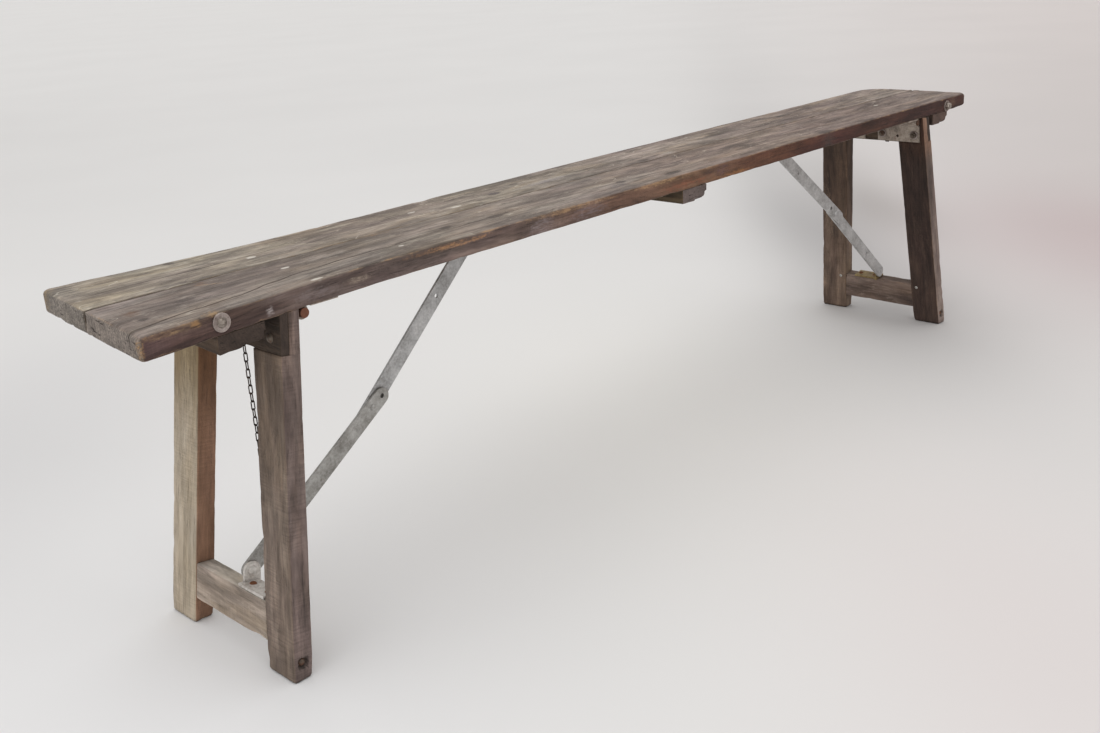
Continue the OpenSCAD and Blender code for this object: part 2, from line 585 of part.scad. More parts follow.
far_upper_stay();
far_upper_elbow_rivet();
far_lower_stay();
far_lower_elbow_rivet();
chain_upper_links();
chain_lower_links();
lock_pin();
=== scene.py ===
import math

import bpy
import numpy as np
from mathutils import Matrix, Vector


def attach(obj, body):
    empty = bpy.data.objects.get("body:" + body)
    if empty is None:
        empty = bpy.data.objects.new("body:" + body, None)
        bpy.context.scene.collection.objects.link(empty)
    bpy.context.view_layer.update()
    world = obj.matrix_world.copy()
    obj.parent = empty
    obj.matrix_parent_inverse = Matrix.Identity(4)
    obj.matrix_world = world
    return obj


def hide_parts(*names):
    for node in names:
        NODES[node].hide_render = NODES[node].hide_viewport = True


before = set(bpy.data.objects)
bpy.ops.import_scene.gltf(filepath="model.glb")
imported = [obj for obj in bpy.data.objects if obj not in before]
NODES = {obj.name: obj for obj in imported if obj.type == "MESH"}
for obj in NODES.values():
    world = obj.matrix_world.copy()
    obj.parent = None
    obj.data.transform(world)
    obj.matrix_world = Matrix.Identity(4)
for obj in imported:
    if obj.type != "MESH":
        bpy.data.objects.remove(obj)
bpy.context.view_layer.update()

bpy.context.scene.view_settings.view_transform = "Standard"
bpy.context.scene.view_settings.look = "None"

# ------------------------------------------------------------------ sizes of the bench, millimetres
SEAT_H, SEAT_T, SEAT_L, SEAT_W = 500.0, 27.0, 2000.0, 240.0
UNDER = SEAT_H - SEAT_T
JOINT_Y, JOINT_GAP = 8.0, 0.4
HX, DROP = 790.0, 9.5
HZ = UNDER - DROP
LEAN = math.radians(8.5)
CL, SL = math.cos(LEAN), math.sin(LEAN)
POST_W, POST_T = 60.0, 28.0
U_IN = -DROP
U_OUT = U_IN - POST_T
U_MID = (U_IN + U_OUT) / 2
W_TOP = DROP / CL
W_FLOOR = -HZ / CL
SPLAY = (148.5 - 119.5) / (W_TOP - W_FLOOR)
TOP_W = -49.0
LOW_W1 = -381.7
LOW_W0 = LOW_W1 - 55.0
LAP = 12.0
FOOT_W = -447.9
TOP_CUT = UNDER - 0.5


def face_y(w):
    return 119.5 + (W_TOP - w) * SPLAY


def sm(x, a, b):
    t = np.clip((np.asarray(x, float) - a) / (b - a), 0, 1)
    return t * t * (3 - 2 * t)


# ------------------------------------------------------------------ repeatable noise
def _hash(ix, iy, iz, seed):
    h = (ix * 73856093) ^ (iy * 19349663) ^ (iz * 83492791) ^ (seed * 374761393)
    h = h & 0xFFFFFFFF
    h = ((h ^ (h >> 13)) * 1274126177) & 0xFFFFFFFF
    h = h ^ (h >> 16)
    return (h & 0xFFFFFF) / float(0xFFFFFF)


def vnoise(p, seed):
    i = np.floor(p).astype(np.int64)
    f = p - i
    f = f * f * (3 - 2 * f)
    out = np.zeros(len(p))
    for dx in (0, 1):
        wx = f[:, 0] if dx else 1 - f[:, 0]
        for dy in (0, 1):
            wy = f[:, 1] if dy else 1 - f[:, 1]
            for dz in (0, 1):
                wz = f[:, 2] if dz else 1 - f[:, 2]
                out += wx * wy * wz * _hash(i[:, 0] + dx, i[:, 1] + dy, i[:, 2] + dz, seed)
    return out * 2 - 1


def fbm(p, size, seed, octaves=3, gain=0.5):
    """Noise of -1 to 1 over p in mm; size is the feature size in mm along each axis."""
    q = p / np.asarray(size, float)
    out, amp, tot = np.zeros(len(p)), 1.0, 0.0
    for o in range(octaves):
        out += amp * vnoise(q * 2**o + 17.3 * o, seed + o)
        tot += amp
        amp *= gain
    return out / tot


# ------------------------------------------------------------------ a block of wood as one dense closed mesh
def ticks(a, b, mid, edge=1.1, zone=7.0, extra=()):
    """Grid lines from a to b: close together near both ends, spaced by mid between, with extra lines added."""
    n = max(2, int(round(zone / edge)))
    lo = a + zone * (np.linspace(0, 1, n + 1) ** 1.25)
    hi = b - zone * (np.linspace(0, 1, n + 1) ** 1.25)
    m = np.linspace(a + zone, b - zone, max(2, int(round((b - a - 2 * zone) / mid)) + 1))
    v = np.concatenate([lo, m, hi, np.asarray(extra, float)])
    v = np.unique(np.round(v, 4))
    keep = [v[0]]
    ex = set(np.round(np.asarray(extra, float), 4).tolist()) | {round(a, 4), round(b, 4)}
    for x in v[1:]:
        if x - keep[-1] < 0.25 and round(float(x), 4) not in ex:
            continue
        if x - keep[-1] < 0.25 and round(float(keep[-1]), 4) not in ex:
            keep[-1] = x
            continue
        keep.append(x)
    return np.array(keep)


def lattice(xs, ys, zs):
    nx, ny, nz = len(xs), len(ys), len(zs)
    surf = np.zeros((nx, ny, nz), bool)
    surf[[0, -1]] = True
    surf[:, [0, -1]] = True
    surf[:, :, [0, -1]] = True
    idx = -np.ones((nx, ny, nz), np.int64)
    idx[surf] = np.arange(surf.sum())
    gx, gy, gz = np.meshgrid(xs, ys, zs, indexing="ij")
    p = np.stack([gx[surf], gy[surf], gz[surf]], 1)

    def quads(g, flip):
        q = np.stack([g[:-1, :-1], g[1:, :-1], g[1:, 1:], g[:-1, 1:]], -1).reshape(-1, 4)
        return q[:, ::-1] if flip else q

    faces = np.concatenate([
        quads(idx[0], True), quads(idx[-1], False),
        quads(idx[:, 0], False), quads(idx[:, -1], True),
        quads(idx[:, :, 0], True), quads(idx[:, :, -1], False)])
    return p, faces


def timber(name, half, xs, ys, zs, radius, place, seed, nodes, body, mat, pre=None, carve=None,
           rough=0.3, wave=0.7, dents=14, dent_size=(3.0, 9.0), dent_depth=(0.5, 2.0), wear_w=3.0, bias=0.0):
    """One worn timber. half is its half size; the grain runs along its local X."""
    half = np.asarray(half, float)
    p, faces = lattice(xs, ys, zs)
    if pre is not None:
        p = pre(p)
    r = np.asarray(radius(p), float)
    r = np.clip(r * (1 + 0.35 * fbm(p, (45, 25, 25), seed + 5, 2)), 0.6, half.min() * 0.9)
    lim = half[None, :] - r[:, None]
    q = np.sign(p) * np.minimum(np.abs(p), lim)
    d = p - q
    ln = np.linalg.norm(d, axis=1)
    n = d / np.maximum(ln, 1e-9)[:, None]
    base = q + n * r[:, None]
    # distance from a face point to the nearest edge of the block
    gap = np.sort(half[None, :] - np.abs(base), axis=1)
    edge = gap[:, 1]
    # worn surface: only ever cut into the wood
    e = wave * (0.5 + 0.5 * fbm(base, (160, 55, 55), seed + 11, 2))
    e += rough * (0.5 + 0.5 * fbm(base, (55, 4.2, 4.2), seed + 23, 2)) * (1 - 0.6 * np.abs(n[:, 0]))
    e += np.exp(-edge / 3.0) * 0.9 * np.clip(fbm(base, (22, 12, 12), seed + 31, 3), 0, 1)
    rng = np.random.default_rng(seed)
    wear = np.exp(-edge / (wear_w * (1 + 0.8 * fbm(base, (60, 20, 20), seed + 41, 2))).clip(0.8, 12))
    for _ in range(dents):
        c = (rng.random(3) * 2 - 1) * half
        ax = rng.permutation(3)[:2]
        if rng.random() < 0.8:
            ax = np.array([1, 2])
        c[ax] = np.sign(c[ax]) * half[ax]
        s = rng.uniform(*dent_size)
        k = rng.uniform(*dent_depth)
        dd = (base - c) / np.array([s * rng.uniform(1.0, 2.6), s, s])
        g = np.exp(-np.sum(dd * dd, 1))
        e += k * g
        wear = np.maximum(wear, g * 0.8)
    dirt_and_shade = np.zeros(len(p))
    if carve is not None:
        ce, cd = carve(base, n, half)
        e += ce
        dirt_and_shade = np.maximum(dirt_and_shade, cd)
    out = base - n * (e - bias)[:, None]
    gr = np.stack([base[:, 0], base[:, 1], base[:, 2]], 1) / 1000.0
    world = place(out)
    a, b, c4, d4 = (world[faces[:, k]] for k in range(4))
    vol = np.einsum("ij,ij->i", a, np.cross(b, c4)).sum() + np.einsum("ij,ij->i", a, np.cross(c4, d4)).sum()
    if vol < 0:
        faces = faces[:, ::-1]
    me = bpy.data.meshes.new(name)
    me.vertices.add(len(world))
    me.vertices.foreach_set("co", (world / 1000.0).astype(np.float32).ravel())
    me.loops.add(len(faces) * 4)
    me.loops.foreach_set("vertex_index", faces.astype(np.int32).ravel())
    me.polygons.add(len(faces))
    me.polygons.foreach_set("loop_start", (np.arange(len(faces)) * 4).astype(np.int32))
    me.update(calc_edges=True)
    me.validate()
    me.polygons.foreach_set("use_smooth", np.ones(len(me.polygons), bool))
    for key, kind, val in (("gr", "FLOAT_VECTOR", gr), ("fn", "FLOAT_VECTOR", n), ("wear", "FLOAT", wear), ("dirt_and_shade", "FLOAT", dirt_and_shade)):
        at = me.attributes.new(key, kind, "POINT")
        at.data.foreach_set("vector" if kind == "FLOAT_VECTOR" else "value", np.asarray(val, np.float32).ravel())
    ob = bpy.data.objects.new(name, me)
    bpy.context.scene.collection.objects.link(ob)
    me.materials.append(mat)
    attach(ob, body)
    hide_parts(*nodes)
    return ob


# ------------------------------------------------------------------ shader writing
def lin(r, g, b):
    def f(c):
        c /= 255.0
        return c / 12.92 if c <= 0.04045 else ((c + 0.055) / 1.055) ** 2.4
    return (f(r), f(g), f(b), 1.0)


class Net:
    def __init__(self, tree):
        self.t = tree

    def new(self, kind, **kw):
        n = self.t.nodes.new(kind)
        for k, v in kw.items():
            setattr(n, k, v)
        return n

    def put(self, sock, v):
        if isinstance(v, bpy.types.NodeSocket):
            self.t.links.new(v, sock)
        elif v is not None:
            sock.default_value = v

    def math(self, op, a, b=None, clamp=False):
        n = self.new("ShaderNodeMath", operation=op, use_clamp=clamp)
        self.put(n.inputs[0], a)
        self.put(n.inputs[1], b)
        return n.outputs[0]

    def vec(self, op, a, b=None, scale=None):
        n = self.new("ShaderNodeVectorMath", operation=op)
        self.put(n.inputs[0], a)
        if b is not None:
            self.put(n.inputs[1], b)
        if scale is not None:
            self.put(n.inputs[3], scale)
        return n.outputs[1] if op in ("LENGTH", "DOT_PRODUCT", "DISTANCE") else n.outputs[0]

    def mix(self, f, a, b, blend="MIX"):
        n = self.new("ShaderNodeMix", data_type="RGBA", blend_type=blend)
        self.put(n.inputs[0], f)
        self.put(n.inputs[6], a)
        self.put(n.inputs[7], b)
        return n.outputs[2]

    def noise(self, v, detail=2.0, rough=0.5, dist=0.0, colour=False):
        n = self.new("ShaderNodeTexNoise")
        self.put(n.inputs["Vector"], v)
        n.inputs["Scale"].default_value = 1.0
        n.inputs["Detail"].default_value = detail
        n.inputs["Roughness"].default_value = rough
        n.inputs["Distortion"].default_value = dist
        return n.outputs[1] if colour else n.outputs[0]

    def ramp(self, f, stops):
        n = self.new("ShaderNodeValToRGB")
        self.put(n.inputs[0], f)
        el = n.color_ramp.elements
        while len(el) < len(stops):
            el.new(0.5)
        for e, (pos, col) in zip(el, stops):
            e.position = pos
            e.color = col if len(col) == 4 else (*col, 1.0)
        return n.outputs[0]

    def span(self, v, lo, hi, a=0.0, b=1.0):
        n = self.new("ShaderNodeMapRange", interpolation_type="SMOOTHSTEP")
        self.put(n.inputs[0], v)
        n.inputs[1].default_value = lo
        n.inputs[2].default_value = hi
        n.inputs[3].default_value = a
        n.inputs[4].default_value = b
        return n.outputs[0]

    def grey(self, v):
        n = self.new("ShaderNodeCombineColor")
        for k in range(3):
            self.put(n.inputs[k], v)
        return n.outputs[0]

    def attr(self, name, vector=False):
        n = self.new("ShaderNodeAttribute", attribute_name=name)
        return n.outputs["Vector"] if vector else n.outputs["Fac"]

    def stretch(self, v, s, loc=(0, 0, 0)):
        n = self.new("ShaderNodeMapping")
        self.put(n.inputs["Vector"], v)
        n.inputs["Scale"].default_value = s
        n.inputs["Location"].default_value = loc
        return n.outputs[0]

    def spot(self, pos, centre, size, seed, fray=0.25, soft=0.25, turn=0.0):
        """1 inside a small patch with a ragged outline, 0 outside."""
        v = self.vec("SUBTRACT", pos, (*centre, 0.0)) if len(centre) == 2 else self.vec("SUBTRACT", pos, centre)
        if turn:
            r = self.new("ShaderNodeVectorRotate", rotation_type="Z_AXIS")
            self.put(r.inputs["Vector"], v)
            r.inputs["Angle"].default_value = turn
            v = r.outputs[0]
        sz = (*size, 0.0) if len(size) == 2 else size
        inv = tuple(0.0 if s == 0 else 1.0 / s for s in sz)
        u = self.vec("MULTIPLY", v, inv)
        d = self.vec("LENGTH", u)
        w = self.noise(self.stretch(pos, (260, 260, 260), (seed, seed * 0.7, 0)), 2)
        d = self.math("ADD", d, self.math("MULTIPLY", self.math("SUBTRACT", w, 0.5), fray * 3))
        return self.span(d, 1.0 + soft, 1.0 - soft)


def finish_mat(g, base, rough, height, dist=0.001, strength=1.0, metal=0.0, spec=0.5, sheen=0.0):
    out = g.new("ShaderNodeOutputMaterial")
    b = g.new("ShaderNodeBsdfPrincipled")
    g.put(b.inputs["Base Color"], base)
    g.put(b.inputs["Roughness"], rough)
    g.put(b.inputs["Metallic"], metal)
    b.inputs["Specular IOR Level"].default_value = spec
    if sheen:
        b.inputs["Sheen Weight"].default_value = sheen
        b.inputs["Sheen Roughness"].default_value = 0.6
    if height is not None:
        bu = g.new("ShaderNodeBump")
        bu.inputs["Distance"].default_value = dist
        bu.inputs["Strength"].default_value = strength
        g.put(bu.inputs["Height"], height)
        g.t.links.new(bu.outputs[0], b.inputs["Normal"])
    g.t.links.new(b.outputs[0], out.inputs[0])
    return b


def wood(name, dark, mid, light, tan, endc, seed, wear=0.7, saw=0.0, contrast=1.0, dust=0.0, faces=(), marks=(),
         rough=0.78, grades=(), ring=0.5, spec=0.35, face_ramps=(), amp=1.0, blotch=0.6, scratch=0.0, end_amp=1.0):
    """Old weathered timber. faces: (local direction, colour multiplier) for single faces made darker or lighter than
    the rest; on faces turned from the light this is painted shade.
    marks: (kind, centre, size, turn) patches in the bench's own coordinates, metres."""
    m = bpy.data.materials.new(name)
    m.use_nodes = True
    m.node_tree.nodes.clear()
    g = Net(m.node_tree)
    gr = g.vec("ADD", g.attr("gr", True), (seed * 0.731, seed * 0.317, seed * 0.173))
    fn = g.attr("fn", True)
    at_wear, at_dirt = g.attr("wear"), g.attr("dirt_and_shade")
    sep = g.new("ShaderNodeSeparateXYZ")
    g.put(sep.inputs[0], fn)
    nx = g.math("ABSOLUTE", sep.outputs[0])
    endg = g.span(nx, 0.55, 0.85)
    tc = g.new("ShaderNodeTexCoord").outputs["Object"]
    # the grain wanders
    wv = g.noise(g.stretch(gr, (2.2, 7, 7)), 2, 0.5, 0, True)
    wv = g.vec("MULTIPLY", g.vec("SUBTRACT", wv, (0.5, 0.5, 0.5)), (0, 0.03, 0.03))
    q = g.vec("ADD", gr, wv)
    patch = g.noise(g.stretch(q, (3.0, 15, 15)), 3, 0.55)
    patch2 = g.noise(g.stretch(q, (14, 75, 75), (3, 1, 2)), 4, 0.62)
    streak = g.noise(g.stretch(q, (6, 210, 210), (1, 4, 2)), 5, 0.68)
    fine = g.noise(g.stretch(q, (30, 1100, 1100), (5, 2, 7)), 3, 0.6)
    # growth rings: a warped band pattern along the timber
    w = g.new("ShaderNodeTexWave", wave_type="BANDS", bands_direction="Y", wave_profile="SAW")
    g.put(w.inputs["Vector"], g.stretch(q, (0.9, 1, 0.75)))
    w.inputs["Scale"].default_value = 34.0
    w.inputs["Distortion"].default_value = 5.5
    w.inputs["Detail"].default_value = 3.0
    w.inputs["Detail Scale"].default_value = 0.9
    w.inputs["Detail Roughness"].default_value = 0.55
    rings = w.outputs["Fac"]
    f = g.math("ADD", g.math("MULTIPLY", patch, 0.55), g.math("MULTIPLY", patch2, 0.45))
    col = g.ramp(f, [(0.5 - 0.14 / amp, dark), (0.5, mid), (0.5 + 0.14 / amp, light)])
    sepo = g.new("ShaderNodeSeparateXYZ")
    g.put(sepo.inputs[0], tc)
    up_face = g.span(sep.outputs[2], 0.4, 0.8)
    # broad patches: lighter and darker, warmer and cooler
    bl = g.noise(g.stretch(q, (10, 36, 36), (12, 3, 5)), 4, 0.6, 0.7)
    col = g.mix(1.0, col, g.grey(g.span(bl, 0.33, 0.67, 1 - 0.34 * blotch, 1 + 0.30 * blotch)), "MULTIPLY")
    hu = g.noise(g.stretch(q, (7, 26, 26), (5, 13, 2)), 3, 0.55)
    col = g.mix(g.math("MULTIPLY", g.span(hu, 0.50, 0.64), min(1.0, blotch)), col, g.mix(1.0, col, (0.96, 0.95, 0.99, 1), "MULTIPLY"))
    col = g.mix(g.math("MULTIPLY", g.span(hu, 0.48, 0.34), min(1.0, blotch)), col, g.mix(1.0, col, (1.03, 1.0, 0.93, 1), "MULTIPLY"))
    for axis, x0, x1, c1 in grades:
        # colour that changes along one axis of the bench: (axis, start, end, colour at the end)
        gx = g.span(sepo.outputs[axis], x0, x1)
        col = g.mix(gx, col, g.mix(1.0, col, (*c1, 1.0), "MULTIPLY"))
    k = 0.55 * contrast
    col = g.mix(1.0, col, g.grey(g.span(streak, 0.3, 0.7, 1 - k * 0.75, 1 + k * 0.75)), "MULTIPLY")
    col = g.mix(1.0, col, g.grey(g.span(rings, 0.0, 1.0, 1 + 0.22 * ring * contrast, 1 - 0.30 * ring * contrast)), "MULTIPLY")
    lines = g.math("MULTIPLY", g.span(fine, 0.43, 0.34), g.span(streak, 0.62, 0.4))
    col = g.mix(g.math("MULTIPLY", lines, 0.62 * contrast), col, tuple(c * 0.33 for c in dark[:3]) + (1,))
    pale = g.math("MULTIPLY", g.span(streak, 0.58, 0.74), g.span(patch2, 0.42, 0.62))
    col = g.mix(g.math("MULTIPLY", pale, 0.5 * contrast), col, light)
    sg = g.noise(g.stretch(q, (15, 52, 52), (21, 9, 4)), 4, 0.62, 0.4)
    col = g.mix(g.math("MULTIPLY", g.span(sg, 0.56, 0.70), 0.55 * blotch), col, tuple(c * 0.62 for c in dark[:3]) + (1,))
    ps = g.noise(g.stretch(q, (34, 130, 130), (31, 2, 8)), 4, 0.7)
    pg = g.noise(g.stretch(q, (5, 14, 14), (3, 22, 8)), 2)
    pm = g.math("MULTIPLY", g.span(ps, 0.54, 0.68), g.span(pg, 0.50, 0.62))
    col = g.mix(g.math("MULTIPLY", g.math("MULTIPLY", pm, up_face), 0.6 * blotch), col, tuple(min(1.0, c * 1.35) for c in light[:3]) + (1,))
    if scratch:
        for k, (sc, off) in enumerate((((9, 34, 34), (4, 6, 1)), ((26, 48, 48), (9, 2, 6)))):
            n1 = g.noise(g.stretch(gr, sc, off), 1.5, 0.5, 0.3)
            ln = g.math("ABSOLUTE", g.math("SUBTRACT", n1, 0.5))
            gate = g.noise(g.stretch(gr, (12, 30, 30), (off[2], 3, 17)), 3, 0.6)
            lm = g.math("MULTIPLY", g.span(ln, 0.010, 0.002), g.span(gate, 0.50, 0.62))
            tone = lin(196, 186, 172) if k == 0 else tuple(c * 0.4 for c in dark[:3]) + (1,)
            col = g.mix(g.math("MULTIPLY", g.math("MULTIPLY", lm, up_face), 0.55 * scratch), col, tone)
    # single faces multiplied by a colour: on the posts and the mid cleat this is painted shade
    for direction, mul in faces:
        dt = g.vec("DOT_PRODUCT", fn, direction)
        col = g.mix(g.span(dt, 0.5, 0.9), col, g.mix(1.0, col, mul, "MULTIPLY"))
    # colour ramps along the bench's length on one face: on the seat's front edge this is painted shade
    for direction, stops in face_ramps:
        along = g.math("MULTIPLY", g.math("ADD", sepo.outputs[0], 1.0), 0.5)
        ragged = g.noise(g.stretch(gr, (9, 60, 60), (3, 3, 8)), 3)
        along = g.math("ADD", along, g.math("MULTIPLY", g.math("SUBTRACT", ragged, 0.5), 0.12))
        rc = g.ramp(along, [((x + 1) / 2, (*(v * 0.5 for v in c), 1.0)) for x, c in stops])
        rc = g.mix(1.0, rc, (2, 2, 2, 1), "MULTIPLY")
        dt = g.vec("DOT_PRODUCT", fn, direction)
        col = g.mix(g.span(dt, 0.45, 0.85), col, g.mix(1.0, col, rc, "MULTIPLY"))
    h = g.math("ADD", g.math("MULTIPLY", streak, 0.9), g.math("MULTIPLY", fine, 0.5))
    h = g.math("SUBTRACT", h, g.math("MULTIPLY", lines, 0.8))
    if saw:
        sv = g.noise(g.stretch(gr, (430, 26, 26), (2, 2, 2)), 3, 0.6)
        band = g.noise(g.stretch(gr, (9, 20, 20), (8, 3, 1)), 2)
        sw = g.math("MULTIPLY", g.span(sv, 0.35, 0.65), g.span(band, 0.35, 0.6))
        col = g.mix(1.0, col, g.grey(g.math("ADD", 1 - 0.22 * saw, g.math("MULTIPLY", sw, 0.44 * saw))), "MULTIPLY")
        h = g.math("ADD", h, g.math("MULTIPLY", sw, 0.7 * saw))
    if dust:
        dn = g.noise(g.stretch(gr, (55, 130, 130), (9, 9, 1)), 5, 0.7)
        dm = g.math("MULTIPLY", g.math("MULTIPLY", g.span(dn, 0.58, 0.72), up_face), dust)
        col = g.mix(dm, col, lin(190, 184, 174))
    # worn arrises show lighter wood
    wn = g.noise(g.stretch(gr, (38, 95, 95), (6, 1, 3)), 4, 0.6)
    wm = g.math("MULTIPLY", g.span(g.math("ADD", at_wear, g.math("MULTIPLY", g.math("SUBTRACT", wn, 0.5), 1.1)), 0.52, 0.95), wear)
    wm = g.math("MULTIPLY", wm, g.span(sep.outputs[2], -0.6, 0.0, 0.25, 1.0))
    wm = g.math("MULTIPLY", wm, g.span(g.noise(g.stretch(gr, (90, 400, 400), (7, 7, 1)), 3, 0.6), 0.40, 0.58, 0.25, 1.0))
    col = g.mix(wm, col, tan)
    # end grain: darker, with fine rings and radial checks
    ev = g.noise(g.stretch(gr, (30, 330, 330), (4, 4, 4)), 4, 0.62)
    er = g.new("ShaderNodeTexWave", wave_type="RINGS", rings_direction="X")
    g.put(er.inputs["Vector"], g.vec("ADD", gr, (0.0, 0.03 + seed * 0.004, 0.02)))
    er.inputs["Scale"].default_value = 95.0
    er.inputs["Distortion"].default_value = 3.0
    er.inputs["Detail"].default_value = 2.0
    ec = g.mix(1.0, endc, g.grey(g.span(ev, 0.3, 0.7, 1 - 0.38 * end_amp, 1 + 0.3 * end_amp)), "MULTIPLY")
    ec = g.mix(1.0, ec, g.grey(g.span(bl, 0.35, 0.65, 0.78, 1.22)), "MULTIPLY")
    ec = g.mix(1.0, ec, g.grey(g.span(er.outputs["Fac"], 0, 1, 1 - 0.16 * end_amp, 1 + 0.1 * end_amp)), "MULTIPLY")
    ck = g.noise(g.stretch(gr, (10, 60, 420), (1, 7, 4)), 3, 0.6)
    ec = g.mix(g.span(ck, 0.40, 0.33), ec, tuple(c * 0.4 for c in dark[:3]) + (1,))
    col = g.mix(g.math("MULTIPLY", endg, g.math("SUBTRACT", 1.0, g.math("MULTIPLY", wm, 0.6))), col, ec)
    broken = g.noise(g.stretch(gr, (70, 420, 420), (13, 2, 9)), 4, 0.65)
    for i, mk in enumerate(marks):
        kind, centre, size = mk[0], mk[1], mk[2]
        turn = mk[3] if len(mk) > 3 else 0.0
        if not isinstance(kind, str):
            # a stain of its own colour: ((r, g, b, strength), centre, size)
            msk = g.spot(tc, centre, size, i * 3.7 + seed, 0.55, 0.6, turn)
            msk = g.math("MULTIPLY", msk, g.span(broken, 0.40, 0.60, 0.15, 1.0))
            col = g.mix(g.math("MULTIPLY", msk, kind[3]), col, lin(*kind[:3]))
            continue
        msk = g.spot(tc, centre, size, i * 3.7 + seed, 0.28, 0.22, turn)
        if kind == "knot":
            halo = g.spot(tc, centre, tuple(s * 1.35 for s in size), i * 2.1 + seed, 0.3, 0.4, turn)
            col = g.mix(g.math("MULTIPLY", halo, 0.3), col, tuple(c * 0.75 for c in dark[:3]) + (1,))
            col = g.mix(g.math("MULTIPLY", msk, 0.6), col, lin(62, 54, 52))
        elif kind == "dark":
            col = g.mix(g.math("MULTIPLY", msk, 0.6), col, tuple(c * 0.5 for c in dark[:3]) + (1,))
        elif kind == "white":
            col = g.mix(g.math("MULTIPLY", msk, 0.82), col, lin(206, 200, 190))
            h = g.math("ADD", h, g.math("MULTIPLY", msk, 0.6))
        elif kind == "pale":
            col = g.mix(g.math("MULTIPLY", msk, 0.42), col, lin(188, 178, 164))
        elif kind == "tan":
            col = g.mix(g.math("MULTIPLY", msk, 0.75), col, tan)
        elif kind == "red":
            col = g.mix(g.math("MULTIPLY", msk, 0.8), col, lin(150, 82, 58))
        elif kind == "rust":
            col = g.mix(g.math("MULTIPLY", msk, 0.6), col, lin(104, 62, 40))
        elif kind == "nail":
            col = g.mix(g.math("MULTIPLY", msk, 0.9), col, lin(44, 34, 30))
            h = g.math("SUBTRACT", h, g.math("MULTIPLY", msk, 1.2))
    # painted shade: ambient occlusion darkens hollows and places where parts meet; taking the maximum with the dirt
    # attribute adds the dark crack, joint and bolt pocket
    ao = g.new("ShaderNodeAmbientOcclusion", samples=6)
    ao.inputs["Distance"].default_value = 0.012
    ao_shade_and_dirt = g.math("MULTIPLY", g.span(ao.outputs["AO"], 0.75, 0.25), 0.55)
    ao_shade_and_dirt = g.math("MAXIMUM", ao_shade_and_dirt, g.math("MULTIPLY", at_dirt, 0.92))
    col = g.mix(ao_shade_and_dirt, col, tuple(c * 0.28 for c in dark[:3]) + (1,))
    ro = g.math("ADD", rough - 0.1, g.math("MULTIPLY", streak, 0.2))
    finish_mat(g, col, ro, h, 0.0011, 0.75, 0.0, spec)
    return m


